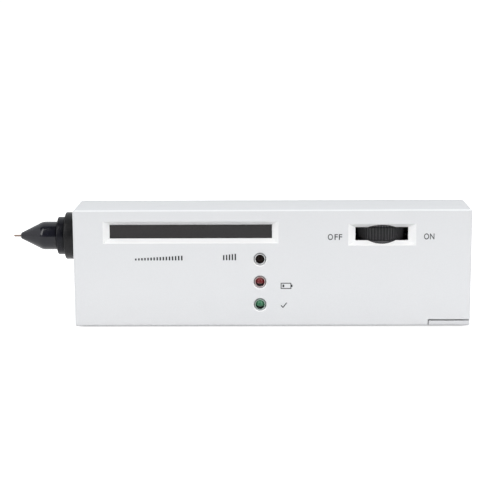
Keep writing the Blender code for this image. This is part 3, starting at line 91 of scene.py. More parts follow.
bpy.ops.object.camera_add(location=CAMERA_PLACE)
camera = bpy.context.object
camera.name = "product_camera"
aim = Matrix.Identity(3)
for degrees, axis in CAMERA_TURNS:
    aim = aim @ Matrix.Rotation(math.radians(degrees), 3, axis)
camera.rotation_euler = aim.to_euler()
camera.data.lens = LENS_LENGTH
camera.data.sensor_width = SENSOR_WIDTH
camera.data.clip_start = 10 * MM
bpy.context.scene.camera = camera
bpy.context.scene.view_settings.view_transform = "Standard"
print("camera", round((camera.location - (cad_low + cad_high) / 2).length, 3), "m from the tester")

# %% [markdown]
# A product picture is lit by large soft lights. Two long ones lie low at the sides, so that they
# whiten the sloping walls of the recesses, and two narrow ones stand in front and above. A wide,
# slightly cool one leans over from behind, because the top face mirrors what is behind it. A pale
# sky fills the rest. Lamps could be small and hard, but then the matt paint would look spotty.

# %% Soft lights
LIT_POINT = Vector((0, 0, 0.02))


def softbox(name, azimuth, elevation, width, height, radiance, colour=(1, 1, 1)):
    """A flat light a metre away. Its power is worked out from how bright its face should look."""
    a, e = math.radians(azimuth), math.radians(elevation)
    away = Vector((math.sin(a) * math.cos(e), -math.cos(a) * math.cos(e), math.sin(e)))
    bpy.ops.object.light_add(type="AREA", location=LIT_POINT + away)
    light = bpy.context.object
    light.name = name
    light.rotation_euler = away.to_track_quat("Z", "Y").to_euler()
    light.data.shape = "RECTANGLE"
    light.data.size, light.data.size_y = width, height
    light.data.color = colour
    light.data.energy = radiance * math.pi * width * height
    print(name, "power", round(light.data.energy, 2), "W")


softbox("left_side_softbox", -82, 21, 1.3, 0.75, 1.23)
softbox("right_side_softbox", 82, 21, 1.3, 0.75, 1.23)
softbox("left_front_softbox", -40, 36, 0.25, 0.9, 5.6)
softbox("right_front_softbox", 40, 36, 0.25, 0.9, 5.6)
softbox("overhead_softbox", 180, 51, 2.4, 1.6, 1.0, (0.95, 0.98, 1.0))

# %% Node helpers
def feed(node, values):
    """Sets inputs by name or number: sockets are linked, and plain values are written in."""
    for name, value in dict(values).items():
        if isinstance(value, bpy.types.NodeSocket):
            node.id_data.links.new(value, node.inputs[name])
        else:
            node.inputs[name].default_value = value


def add_node(tree, kind, values=()):
    node = tree.nodes.new(f"ShaderNode{kind}")
    feed(node, values)
    return node


def own_place(tree):
    """The place of a point in its part's own coordinates."""
    return add_node(tree, "TexCoord").outputs["Object"]


def calculate(tree, operation, *values, kind="Math"):
    """The result of one calculation, with the values in the order of the node's inputs."""
    node = add_node(tree, kind)
    node.operation = operation
    feed(node, enumerate(values))
    gives_number = kind == "Math" or operation in ("LENGTH", "DOT_PRODUCT")
    return node.outputs["Value" if gives_number else "Vector"]


def ramp(tree, value, start, end, low=0.0, high=1.0):
    """Goes from low to high while the value goes from start to end."""
    span = {"Value": value, "From Min": start, "From Max": end, "To Min": low, "To Max": high}
    return add_node(tree, "MapRange", span).outputs["Result"]


# %% Pale sky
SKY = 0.13
world = bpy.data.worlds.new("pale_studio")
bpy.context.scene.world = world
world.use_nodes = True
seen_direct = add_node(world.node_tree, "LightPath").outputs["Is Camera Ray"]
strength = calculate(world.node_tree, "MULTIPLY_ADD", seen_direct, 1 - SKY, SKY)
feed(world.node_tree.nodes["Background"], {"Color": (1, 1, 1, 1), "Strength": strength})
print("sky strength", SKY)

# %% [markdown]
# The floor is a plain white sheet. Away from the tester it glows softly for the camera and for
# reflections, so that it shows white without more light on the tester. At the tester's foot the
# glow is weaker, a painted shadow, and the matt shading shows through it, so the contact shadow
# there is partly painted and partly cast.

# %% Floor
CASE_LOW, CASE_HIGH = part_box("front_case")
SHEET_TONE, GLOWING_TONE = 0.68, 0.45
GLOW_AT_FOOT, GLOW_REACH, FOOT_INSET = 0.35, 4 * MM, 3 * MM
FLOOR_WIDTH = 60


def footprint_distance(tree):
    """How far a floor point lies outside the housing's footprint, from the floor's coordinates."""
    def vector(operation, *values):
        return calculate(tree, operation, *values, kind="VectorMath")

    to_middle = (-(CASE_LOW.x + CASE_HIGH.x) / 2, 0, 0)
    shifted = add_node(tree, "Mapping", {"Vector": own_place(tree), "Location": to_middle})
    half = ((CASE_HIGH.x - CASE_LOW.x) / 2 - FOOT_INSET, cad_high.y, 0)
    outside = vector("SUBTRACT", vector("ABSOLUTE", shifted.outputs["Vector"]), half)
    return vector("LENGTH", vector("MAXIMUM", outside, (0, 0, 0)))


def diffuse(tree, tone):
    return add_node(tree, "BsdfDiffuse", {"Color": (tone, tone, tone, 1)}).outputs[0]


def white_sheet():
    sheet = bpy.data.materials.new("white_sheet")
    sheet.use_nodes = True
    tree = sheet.node_tree
    tree.nodes.clear()
    # Weaker glow near the foot: a painted shadow round the tester.
    near = ramp(tree, footprint_distance(tree), 0, GLOW_REACH, GLOW_AT_FOOT)
    glow = add_node(tree, "Emission", {"Color": (1, 1, 1, 1), "Strength": near})
    glowing = add_node(tree, "AddShader", {0: diffuse(tree, GLOWING_TONE), 1: glow.outputs[0]})
    rays = add_node(tree, "LightPath").outputs
    seen = calculate(tree, "MAXIMUM", rays["Is Camera Ray"], rays["Is Glossy Ray"])
    seen = calculate(tree, "MAXIMUM", seen, rays["Is Transmission Ray"])
    choices = {0: seen, 1: diffuse(tree, SHEET_TONE), 2: glowing.outputs[0]}
    chosen = add_node(tree, "MixShader", choices).outputs[0]
    add_node(tree, "OutputMaterial", {"Surface": chosen})
    return sheet


bpy.ops.mesh.primitive_plane_add(size=FLOOR_WIDTH, location=(0, 0, 0))
floor = bpy.context.object
floor.name = "studio_floor"
floor.data.materials.append(white_sheet())
print("floor", FLOOR_WIDTH, "m wide at height 0")

# %% [markdown]
# Every finish starts from one shader with its plain values. Small helpers then add what a real
# surface has: blotches of colour, patches that are more or less shiny, a grain that the light
# catches, and edges that handling has rubbed. The patterns follow the part's own coordinates, so
# they stay on it when it moves.

# %% Finish helpers
NOISE_RANGE = (0.33, 0.67)
FLAT, BENT = 0.995, 0.85


def linear(channel):
    """The light that a screen gives for a channel from 0 to 255."""
    share = channel / 255
    return share / 12.92 if share <= 0.04045 else ((share + 0.055) / 1.055) ** 2.4


def shade(colour):
    return [linear(channel) for channel in colour] + [1.0]


def shader_of(finish):
    return finish.node_tree.nodes["Principled BSDF"]


def new_finish(name, colour, roughness, metallic=0.0, specular=0.5):
    """A shader with colour given as on a screen, 0 to 255."""
    finish = bpy.data.materials.new(name)
    finish.use_nodes = True
    finish.diffuse_color = shade(colour)
    feed(shader_of(finish), {
        "Base Color": shade(colour), "Roughness": roughness, "Metallic": metallic,
        "Specular IOR Level": specular,
    })
    return finish


def pattern(finish, size, detail=2.0, stretch=(1, 1, 1), low=0.0, high=1.0):
    """Noise with blotches about size metres across, spread from low to high."""
    tree = finish.node_tree
    place = add_node(tree, "Mapping", {"Vector": own_place(tree), "Scale": stretch}).outputs[0]
    noise = add_node(tree, "TexNoise", {"Vector": place, "Scale": 1 / size, "Detail": detail})
    return ramp(tree, noise.outputs["Fac"], *NOISE_RANGE, low, high)


def tint(finish, amount, colour):
    """Mixes another colour in where amount is high, over whatever colour is there already."""
    target = shader_of(finish).inputs["Base Color"]
    below = target.links[0].from_socket if target.links else target.default_value
    mix = add_node(finish.node_tree, "Mix")
    mix.data_type = "RGBA"
    feed(mix, {0: amount, 6: below, 7: shade(colour)})
    feed(shader_of(finish), {"Base Color": mix.outputs[2]})


def polish(finish, amount):
    """Lets a pattern set the roughness."""
    feed(shader_of(finish), {"Roughness": amount})


def relief(finish, height, depth, strength=1.0):
    """Lets a pattern raise the surface by up to depth metres, over any relief there already."""
    below = shader_of(finish).inputs["Normal"].links
    bump = {"Height": height, "Distance": depth, "Strength": strength}
    if below:
        bump["Normal"] = below[0].from_socket
    feed(shader_of(finish), {"Normal": add_node(finish.node_tree, "Bump", bump).outputs[0]})


def edges(finish, reach, amount):
    """High along outer edges, and broken up: rubbed wear and a painted highlight on the black
    plastics, a painted shade on the housing paint.
    """
    tree = finish.node_tree
    rounded = add_node(tree, "Bevel", {"Radius": reach})
    rounded.samples = 6
    normals = [node.outputs["Normal"] for node in (rounded, add_node(tree, "NewGeometry"))]
    bend = calculate(tree, "DOT_PRODUCT", *normals, kind="VectorMath")
    wear_and_painted_light = ramp(tree, bend, FLAT, BENT, 0, amount)
    return calculate(tree, "MULTIPLY", wear_and_painted_light, pattern(finish, 0.0015, low=0.3))


def towards(finish, axis, start, end):
    """Grows from 0 at the place start to 1 at the place end along X, Y or Z."""
    tree = finish.node_tree
    split = add_node(tree, "SeparateXYZ", {0: own_place(tree)})
    return ramp(tree, split.outputs[axis], start, end)


# %% [markdown]
# The housing is moulded plastic with a pale, faintly silver paint. Sprayed paint dries with a
# soft waviness like orange peel and carries fine specks. A metal shader would look like
# bare steel, so the paint stays a plain one with a thin clear coat. A painted shade makes it a
# shade darker towards the top. The sloping walls of the recesses get a lighter paint, a painted
# light, and the battery door is a little darker. The rounded edges at the two ends get a darker
# paint with a thinner coat, a painted shade, and the rounded edge along the top of the front face
# a lighter paint, a painted highlight that shows as a light line.

# %% Housing paint
BRIGHTEST = 252


def housing_paint(name, lift, lacquer=0.3):
    """Pale silver paint. A lift makes every tone that much lighter."""
    def tone(*channels):
        return [min(channel + lift, BRIGHTEST) for channel in channels]

    paint = new_finish(name, tone(228, 229, 231), 0.4)
    feed(shader_of(paint), {"Coat Weight": lacquer, "Coat Roughness": 0.14})
    tint(paint, pattern(paint, 0.03, 3, high=0.35), tone(224, 226, 229))
    tint(paint, pattern(paint, 0.00022, 2, high=0.3), tone(238, 239, 241))
    # A painted shade: a shade darker towards the top.
    tint(paint, towards(paint, "Z", 12 * MM, 100 * MM), tone(206, 207, 209))
    # A painted shade: the rounded edges a shade darker.
    tint(paint, edges(paint, 0.0003, 0.5), tone(220, 221, 223))
    polish(paint, pattern(paint, 0.004, 4, low=0.36, high=0.46))
    relief(paint, pattern(paint, 0.0011, 2), 0.000012, 0.6)
    relief(paint, pattern(paint, 0.00025, 2), 0.000004, 0.5)
    return paint


PAINT = housing_paint("pale_silver_paint", 0)
PAINT_WITH_PAINTED_LIGHT = housing_paint("paint_with_painted_light", 27)
DOOR_PAINT = housing_paint("pale_door_paint", -4)
PAINTED_SHADE_END_PAINT = housing_paint("painted_shade_edge_paint", -4, 0.12)
PAINTED_HIGHLIGHT_PAINT = housing_paint("painted_highlight_edge_paint", 14)

# %% [markdown]
# The nose is black moulded plastic. Its cap is polished, its ring is satin, and its collar has a
# coarser spark-eroded grain that glints in specks. One helper makes all three, with the
# grain and the shine as its values.

# %% Black plastics
BLOTCH_LIFT, WEAR_AND_PAINTED_LIGHT_LIFT = 14, 26


def black_plastic(name, colour, smooth, rough, grain_size, grain_depth, specular=0.5):
    plastic = new_finish(name, colour, (smooth + rough) / 2, specular=specular)
    blotch, wear_and_painted_light = ([channel + lift for channel in colour] for lift in (BLOTCH_LIFT, WEAR_AND_PAINTED_LIGHT_LIFT))
    tint(plastic, pattern(plastic, grain_size * 3, 3, high=0.45), blotch)
    # Lighter edges: rubbed wear and a painted highlight.
    tint(plastic, edges(plastic, 0.00015, 0.4), wear_and_painted_light)
    polish(plastic, pattern(plastic, grain_size * 2, 4, low=smooth, high=rough))
    relief(plastic, pattern(plastic, grain_size, 3), grain_depth, 0.7)
    return plastic


CAP_BLACK = black_plastic("polished_black", (12, 13, 23), 0.15, 0.25, 0.0006, 0.000006, 0.38)
RING_BLACK = black_plastic("satin_black", (10, 11, 19), 0.26, 0.4, 0.0005, 0.000015, 0.2)
COLLAR_BLACK = black_plastic("grained_black", (12, 12, 14), 0.3, 0.45, 0.0005, 0.00004, 0.25)
WHEEL_BLACK = black_plastic("wheel_black_rubber", (38, 38, 40), 0.45, 0.62, 0.0003, 0.00001, 0.45)
INNER_BLACK = black_plastic("inner_black", (34, 34, 37), 0.36, 0.5, 0.0004, 0.00001)
PAINTED_SHADE_AND_CHIP_EPOXY = black_plastic("painted_shade_and_chip_epoxy", (28, 28, 30), 0.55, 0.7, 0.0002, 0.000012)
BLACK_JACKET = black_plastic("black_jacket", (24, 24, 26), 0.45, 0.55, 0.0004, 0.00001)

# %% [markdown]
# The smoked window is a dark acrylic strip. It is nearly black inside, and what shows is the pale
# studio mirrored in its polished face, softened by fine wiping marks along its length.

# %% Smoked acrylic
SMOKED = new_finish("smoked_acrylic", (21, 18, 19), 0.14, specular=0.33)
feed(shader_of(SMOKED), {"IOR": 1.49, "Transmission Weight": 0.25})
tint(SMOKED, pattern(SMOKED, 0.006, 3, (0.3, 1, 1), high=0.5), (33, 29, 29))
polish(SMOKED, pattern(SMOKED, 0.0012, 4, (0.12, 1, 1), low=0.1, high=0.22))
relief(SMOKED, pattern(SMOKED, 0.0009, 3, (0.1, 1, 1)), 0.000002, 0.5)

# %% [markdown]
# The three lamps are bullets of tinted resin with a lead frame cast inside. Clear glass would be
# too sharp for them, so the resin lets only a part of the light through and the rest is its own
# colour. Below the middle the red and the green resin are painted black, a painted shade, and
# towards the top they are painted pale, a painted highlight. The first lamp is of dark, dull resin
# all over.

# %% Lamp resins
LAMP_X, LAMP_HEIGHTS = 6.8 * MM, (23.15 * MM, 15.31 * MM, 7.47 * MM)


def lamp_resin(name, colour, deep, clear, gloss):
    resin = new_finish(name, colour, 0.12, specular=gloss)
    feed(shader_of(resin), {"IOR": 1.54, "Transmission Weight": clear})
    tint(resin, pattern(resin, 0.0012, 3, high=0.6), deep)
    polish(resin, pattern(resin, 0.0008, 2, low=0.1, high=0.2))
    relief(resin, pattern(resin, 0.0006, 2), 0.000004, 0.5)
    return resin


DARK_RESIN = lamp_resin("dark_resin", (30, 20, 17), (12, 8, 8), 0.0, 0.06)
RED_RESIN = lamp_resin("red_resin", (134, 34, 40), (96, 16, 20), 0.2, 0.28)
GREEN_RESIN = lamp_resin("green_resin", (69, 140, 101), (27, 88, 59), 0.2, 0.28)
AMBER_CHIP = lamp_resin("bar_lamp_resin", (206, 210, 176), (186, 192, 150), 0.3, 0.5)
PAINTED_HIGHLIGHT_FROM, PAINTED_HIGHLIGHT_TO, PAINTED_SHADE_FROM, PAINTED_SHADE_TO = 0.8 * MM, 1.7 * MM, -0.2 * MM, -0.8 * MM
PAINTED_HIGHLIGHT_RED, PAINTED_HIGHLIGHT_GREEN, PAINTED_SHADE_RESIN = (214, 160, 160), (152, 208, 178), (6, 4, 5)
# A painted highlight at the top of each coloured resin, and a painted shade below its middle.
for resin, height, pale in zip((RED_RESIN, GREEN_RESIN), LAMP_HEIGHTS[1:], (PAINTED_HIGHLIGHT_RED, PAINTED_HIGHLIGHT_GREEN)):
    tint(resin, towards(resin, "Z", height + PAINTED_HIGHLIGHT_FROM, height + PAINTED_HIGHLIGHT_TO), pale)
    tint(resin, towards(resin, "Z", height + PAINTED_SHADE_FROM, height + PAINTED_SHADE_TO), PAINTED_SHADE_RESIN)

# %% [markdown]
# Bare metals keep the direction in which they were drawn or turned, as fine lines. Stretching the
# noise along one axis draws those lines without any picture. The needle's copper is aged and dull.

# %% Metals
def drawn_metal(name, colour, dull, smooth, rough, stretch):
    metal = new_finish(name, colour, (smooth + rough) / 2, 1.0)
    tint(metal, pattern(metal, 0.0008, 3, high=0.6), dull)
    polish(metal, pattern(metal, 0.0004, 4, stretch, low=smooth, high=rough))
    relief(metal, pattern(metal, 0.00015, 2, stretch), 0.000006, 0.5)
    return metal


COPPER = drawn_metal("needle_copper", (160, 142, 132), (132, 115, 106), 0.4, 0.56, (0.1, 1, 1))
feed(shader_of(COPPER), {"Metallic": 0.2, "Specular IOR Level": 0.25})
STEEL = drawn_metal("bright_steel", (190, 192, 196), (160, 162, 166), 0.24, 0.4, (1, 0.15, 1))
BRASS = drawn_metal("turned_brass", (206, 178, 106), (176, 144, 78), 0.26, 0.42, (1, 1, 0.2))

# %% [markdown]
# The parts inside are plain: white and blue mouldings, a dark green board with its copper runs
# under the lacquer, wires with soft jackets, and a battery in a metal sleeve without words.

# %% Inner mouldings and wires
def moulded(name, colour, shadow, smooth, rough):
    plastic = new_finish(name, colour, (smooth + rough) / 2)
    tint(plastic, pattern(plastic, 0.003, 3, high=0.5), shadow)
    polish(plastic, pattern(plastic, 0.0015, 3, low=smooth, high=rough))
    relief(plastic, pattern(plastic, 0.0004, 3), 0.000008, 0.6)
    return plastic


WHITE = moulded("white_moulding", (232, 232, 226), (218, 217, 208), 0.45, 0.6)
PAINTED_SHADE_GAP_GREY = moulded("painted_shade_gap_grey", (112, 114, 117), (98, 100, 104), 0.5, 0.62)
PAINTED_SHADE_GROOVE_GREY = moulded("painted_shade_groove_grey", (172, 174, 177), (156, 158, 162), 0.5, 0.62)
BLUE = moulded("trimmer_blue_moulding", (36, 84, 168), (28, 66, 138), 0.38, 0.5)
RED_JACKET = moulded("red_jacket", (178, 32, 28), (150, 24, 22), 0.42, 0.55)

# %% Circuit board
# Dark lacquer with paler straight runs, from stretched cells that cross each other.
UPRIGHT = (math.radians(90), 0, 0)
BOARD = new_finish("board_lacquer", (20, 44, 30), 0.35)
board_tree = BOARD.node_tree
flat = add_node(board_tree, "Mapping", {"Vector": own_place(board_tree), "Rotation": UPRIGHT})
cells = {"Vector": flat.outputs[0], "Scale": 90, "Mortar Size": 0.035, "Brick Width": 0.9}
runs = add_node(board_tree, "TexBrick", cells)
runs.offset = 0.37
tint(BOARD, runs.outputs["Fac"], (44, 84, 52))
tint(BOARD, pattern(BOARD, 0.01, 3, high=0.4), (14, 32, 22))
polish(BOARD, pattern(BOARD, 0.003, 3, low=0.25, high=0.45))
relief(BOARD, runs.outputs["Fac"], 0.00003, 0.6)

# %% Battery sleeve
# Dark metal with one plain pale band near the studs.
BAND_LOW, BAND_HIGH = 43.8 * MM, 44.0 * MM
SLEEVE = new_finish("battery_sleeve", (46, 50, 58), 0.35, 0.4)
tint(SLEEVE, towards(SLEEVE, "X", BAND_HIGH, BAND_LOW), (172, 150, 96))
tint(SLEEVE, pattern(SLEEVE, 0.008, 3, high=0.3), (60, 64, 72))
polish(SLEEVE, pattern(SLEEVE, 0.003, 4, low=0.28, high=0.45))
relief(SLEEVE, pattern(SLEEVE, 0.0006, 2), 0.00001, 0.5)

# %% Put the finishes on the parts that keep their own shape
FINISH_OF_SLOT = {
    "housing": PAINT, "black_plastic": INNER_BLACK, "wheel_black": WHEEL_BLACK,
    "smoked_lens": SMOKED, "copper": COPPER, "steel": STEEL, "brass": BRASS, "board": BOARD,
    "white_plastic": WHITE, "chip_black": PAINTED_SHADE_AND_CHIP_EPOXY, "trimmer_blue": BLUE,
    "dark_lamp": DARK_RESIN, "red_lamp": RED_RESIN, "green_lamp": GREEN_RESIN,
    "bar_lamp": AMBER_CHIP, "red_lead": RED_JACKET, "black_lead": BLACK_JACKET,
    "battery_skin": SLEEVE,
}
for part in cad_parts.values():
    for material_slot in part.material_slots:
        material_slot.material = FINISH_OF_SLOT[material_slot.material.name.split(".")[0]]
print("finishes on", len(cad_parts), "parts")

# %% [markdown]
# The next helpers are the moves made by hand in edit mode: select by place, close up a finished
# shape, copy it, carve it, and hand it over to the model.

# %% Modelling helpers
SAME_POINT, ON_PLANE = 0.000001, 0.01 * MM


def switch_to(mode):
    bpy.ops.object.mode_set(mode=mode)


def select_mesh():
    bpy.ops.mesh.select_all(action="SELECT")


def deselect_all():
    if bpy.context.object and bpy.context.object.mode != "OBJECT":
        switch_to("OBJECT")
    bpy.ops.object.select_all(action="DESELECT")


def activate(piece):
    piece.select_set(True)
    bpy.context.view_layer.objects.active = piece


def begin(name):
    """Names the new primitive and goes into edit mode with all of it selected."""
    piece = bpy.context.object
    piece.name = piece.data.name = name
    switch_to("EDIT")
    bpy.ops.mesh.select_mode(type="VERT")
    select_mesh()
    return piece


def pick(kind, test):
    """Selects and counts vertices, edges by both ends, or faces by middle and normal."""
    piece = bpy.context.object
    bpy.ops.mesh.select_mode(type={"verts": "VERT", "edges": "EDGE", "faces": "FACE"}[kind])
    bpy.ops.mesh.select_all(action="DESELECT")
    shape = bmesh.from_edit_mesh(piece.data)
    found = 0
    for element in getattr(shape, kind):
        if kind == "verts":
            good = test(element.co)
        elif kind == "edges":
            good = test(element.verts[0].co) and test(element.verts[1].co)
        else:
            good = test(element.calc_center_median(), element.normal)
        if good:
            element.select_set(True)
            found += 1
    shape.select_flush_mode()
    bmesh.update_edit_mesh(piece.data)
    return found


def close_up(piece, angle=35):
    """Merges doubles, points the faces outwards and shades the round parts smooth."""
    switch_to("EDIT")
    select_mesh()
    bpy.ops.mesh.remove_doubles(threshold=SAME_POINT)
    bpy.ops.mesh.normals_make_consistent(inside=False)
    switch_to("OBJECT")
    activate(piece)
    bpy.ops.object.transform_apply()
    bpy.ops.object.shade_smooth_by_angle(angle=math.radians(angle))
    return piece


def apply_last(piece):
    bpy.ops.object.modifier_apply(modifier=piece.modifiers[-1].name)


def even_normals(piece):
    """Keeps large flat faces flat where they run into small rounded ones."""
    bpy.ops.object.modifier_add(type="WEIGHTED_NORMAL")
    piece.modifiers[-1].keep_sharp = True
    apply_last(piece)


def new_object(name, mesh):
    """An object at the origin with a copy of the mesh as its own, in edit mode."""
    deselect_all()
    piece = bpy.data.objects.new(name, mesh.copy())
    bpy.context.scene.collection.objects.link(piece)
    activate(piece)
    return begin(name)


def copy_of(piece, name, shift):
    """A copy with its own mesh, moved in edit mode so that its object stays at the origin."""
    copy = new_object(name, piece.data)
    bpy.ops.transform.translate(value=shift)
    switch_to("OBJECT")
    return copy


def down_the_column(first, names):
    """The first piece, made at the top lamp, and named copies of it at the two lamps below."""
    shifts = [(0, 0, height - LAMP_HEIGHTS[0]) for height in LAMP_HEIGHTS[1:]]
    return [first] + [copy_of(first, name, shift) for name, shift in zip(names, shifts)]


def carve(piece, cutter):
    """Cuts the cutter's shape out of the piece and throws the cutter away."""
    deselect_all()
    activate(piece)
    bpy.ops.object.modifier_add(type="BOOLEAN")
    piece.modifiers[-1].object = cutter
    apply_last(piece)
    bpy.data.objects.remove(cutter)


def coat(piece, finish):
    """Takes all finishes off the piece and gives it this one."""
    piece.data.materials.clear()
    piece.data.materials.append(finish)


def paint_faces(piece, finish, test):
    """Gives another finish to the faces that pass the test."""
    piece.data.materials.append(finish)
    count = pick("faces", test)
    piece.active_material_index = len(piece.data.materials) - 1
    bpy.ops.object.material_slot_assign()
    print(piece.name, "faces in", finish.name, count)


def hand_over(piece, finish, body, slot, *nodes):
    """Gives the finished piece to the model, to ride on a body and stand in for its CAD nodes."""
    if finish:
        coat(piece, finish)
    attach(piece, body)
    if nodes:
        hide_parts(*nodes)
    print(piece.name, len(piece.data.polygons), "faces")


# %% [markdown]
# The nose pieces, the needle and the lamps are all round. On a lathe such a shape is an outline
# turned about an axis, and Blender's spin does the same: one vertex is extruded from corner to
# corner, chosen corners are rounded, and the outline is spun once round. Stacked cylinders would
# leave hard joints where the real plastic is rounded.

# %% Outline helper
def trace(name, corners, closed):
    """A line of edges from corner to corner, drawn by extruding one vertex."""
    deselect_all()
    bpy.ops.mesh.primitive_plane_add(size=MM, location=corners[0])
    piece = begin(name)
    bpy.ops.mesh.merge(type="CENTER")
    for near, far in zip(corners, corners[1:]):
        bpy.ops.mesh.extrude_vertices_move(TRANSFORM_OT_translate={"value": far - near})
    if closed:
        ends = [corner - piece.location for corner in (corners[0], corners[-1])]
        pick("verts", lambda point: min((point - end).length for end in ends) < SAME_POINT)
        bpy.ops.mesh.edge_face_add()
    return piece


# %% Lathe helper
def lathe(name, outline, origin, axis, steps=96, closed=True, segments=5):
    """outline holds (distance along the axis, radius, rounding) in millimetres."""
    axis, origin = Vector(axis), Vector(origin)
    side = Vector((0, 0, 1)) if abs(axis.z) < 0.5 else Vector((1, 0, 0))
    corners = [origin + axis * along * MM + side * radius * MM for along, radius, _ in outline]
    piece = trace(name, corners, closed)
    base = Vector(piece.location)
    for corner, (_, _, rounding) in zip(corners, outline):
        if rounding:
            pick("verts", lambda point: (point + base - corner).length < SAME_POINT)
            bpy.ops.mesh.bevel(
                offset=rounding * MM, segments=segments, affect="VERTICES", clamp_overlap=False,
            )
    bpy.ops.mesh.select_mode(type="VERT")
    select_mesh()
    bpy.ops.mesh.spin(steps=steps, angle=2 * math.pi, center=origin, axis=axis)
    return close_up(piece, 30)


# %% [markdown]
# Both shells and the battery door are already right in form, but their edges are bare triangles.
# They could be rebuilt from a block, yet a merged copy keeps every rib and screw post. In the
# copy the flat triangles are melted into whole faces, and the rims that catch light are rounded
# as paint leaves them.

# %% Shell helpers
FRONT = cad_low.y
NEARLY_FLAT = math.radians(0.6)


def merged_copy(node, name):
    """A copy of a CAD part in edit mode, its triangles melted into whole faces."""
    piece = new_object(name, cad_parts[node].data)
    bpy.ops.mesh.customdata_custom_splitnormals_clear()
    bpy.ops.mesh.remove_doubles(threshold=2 * SAME_POINT)
    bpy.ops.mesh.dissolve_limited(angle_limit=NEARLY_FLAT)
    return piece


def smooth(angle):
    """Leaves edit mode and shades the piece smooth wherever it bends less than the angle."""
    switch_to("OBJECT")
    bpy.ops.object.shade_smooth_by_angle(angle=math.radians(angle))


def hand_over_shell(piece, body, node):
    smooth(38)
    even_normals(piece)
    hand_over(piece, None, body, "housing", node)


def soften(test, width, segments=3):
    """Rounds the edges whose two ends pass the test."""
    count = pick("edges", test)
    bpy.ops.mesh.bevel(
        offset=width, segments=segments, profile=0.5, affect="EDGES", clamp_overlap=True,
    )
    return count


def on_face(point, low_x, high_x, low_z, high_z):
    """True on the front face inside a rectangle, in millimetres."""
    near = abs(point.y - FRONT) < ON_PLANE
    return near and low_x < point.x / MM < high_x and low_z < point.z / MM < high_z


# %% Front shell
GROOVE_INNER, GROOVE_OUTER, GROOVE_DEPTH, GROOVE_OVERRUN = 1.78, 2.16, 1.1, 0.5
CUTTER_NAMES = ("collar_groove_cutter_middle", "collar_groove_cutter_bottom")
RIM_ROUND, LAMP_RIM_ROUND = 0.16 * MM, 0.1 * MM
# Each recess on the front face, as low x, high x, low z and high z in millimetres.
WINDOW_RIM, WHEEL_RIM, LAMP_RIMS = (-47, 14, 28, 37), (36, 60, 27, 36), (4, 9.6, 4, 26)

shell = merged_copy("front_case", "front_shell")
switch_to("OBJECT")
first_groove = lathe(
    "collar_groove_cutter",
    [(-GROOVE_DEPTH, GROOVE_INNER, 0), (GROOVE_OVERRUN, GROOVE_INNER, 0),
     (GROOVE_OVERRUN, GROOVE_OUTER, 0), (-GROOVE_DEPTH, GROOVE_OUTER, 0)],
    (LAMP_X, FRONT, LAMP_HEIGHTS[0]), (0, -1, 0), steps=64,
)
for cutter in down_the_column(first_groove, CUTTER_NAMES):
    carve(shell, cutter)
switch_to("EDIT")
rims = soften(lambda point: on_face(point, *WINDOW_RIM), RIM_ROUND)
rims += soften(lambda point: on_face(point, *WHEEL_RIM), RIM_ROUND)
rims += soften(lambda point: on_face(point, *LAMP_RIMS), LAMP_RIM_ROUND, 2)
print("rims rounded on the front face:", rims)


def painted_light_wall(centre, normal):
    """True for the sloping walls of the recesses, but not above the lamps."""
    depth = (centre.y - FRONT) / MM
    sloping = 0.03 < depth < 2.3 and -0.96 < normal.y < -0.3 and 4 < centre.z / MM < 37
    lamp_brow = abs(centre.x - LAMP_X) < 3 * MM and centre.z < 27 * MM and normal.z < -0.1
    return sloping and not lamp_brow


def groove_wall(centre, normal):
    """True in the narrow grooves round the lamps, except low down, where light falls in."""
    return any(
        1.7 * MM < math.hypot(centre.x - LAMP_X, centre.z - height) < 2.2 * MM
        and FRONT + 0.3 * MM < centre.y < FRONT + 2.3 * MM and centre.z > height - 0.9 * MM
        for height in LAMP_HEIGHTS
    )


def painted_shade_edge(centre, normal):
    """True on the rounded edges at both ends of the housing and along the back of its top."""
    at_end = min(centre.x - CASE_LOW.x, CASE_HIGH.x - centre.x) < 0.75 * MM
    along_back = centre.z > 39.2 * MM and 0.2 < normal.y < 0.985 and normal.z > 0.1
    return at_end and 0.2 < abs(normal.x) < 0.985 or along_back


def painted_highlight_edge(centre, normal):
    """True on the rounded edge where the front face meets the top."""
    return centre.z > 39.6 * MM and -0.8 < normal.y < -0.2 and abs(normal.x) < 0.3


def gap_shade_wall(centre, normal):
    """True on the notch wall that faces the top of the door's foot."""
    in_notch = centre.x > 63.8 * MM and centre.z < 2.3 * MM and centre.y < FRONT + 2.1 * MM
    return in_notch and normal.z < -0.5


coat(shell, PAINT)
# The sloping walls of the recesses get the lighter paint, a painted light.
paint_faces(shell, PAINT_WITH_PAINTED_LIGHT, painted_light_wall)
# The rounded edges at the ends get the darker paint, a painted shade.
paint_faces(shell, PAINTED_SHADE_END_PAINT, painted_shade_edge)
# The rounded top edge of the front face gets the lighter paint, a painted highlight.
paint_faces(shell, PAINTED_HIGHLIGHT_PAINT, painted_highlight_edge)
# The notch wall over the door's foot is painted grey, a painted shade.
paint_faces(shell, PAINTED_SHADE_GAP_GREY, gap_shade_wall)
# The grooves round the lamps are painted grey, a painted shade, except low down.
paint_faces(shell, PAINTED_SHADE_GROOVE_GREY, groove_wall)
hand_over_shell(shell, "housing", "front_case")

# %% [markdown]
# The rear cover keeps its shape. The door's foot shows at the lower right corner of the front, and
# on the real tester a dark line runs along its top. So the foot's top is lowered a little, its
# front rim is rounded, and the walls of the gap are painted grey, a painted shade.

# %% Rear cover and battery door
cover = merged_copy("rear_cover", "rear_shell")
coat(cover, PAINT)
# The cover's rounded end edges get the darker paint, a painted shade.
paint_faces(cover, PAINTED_SHADE_END_PAINT, painted_shade_edge)
hand_over_shell(cover, "housing", "rear_cover")

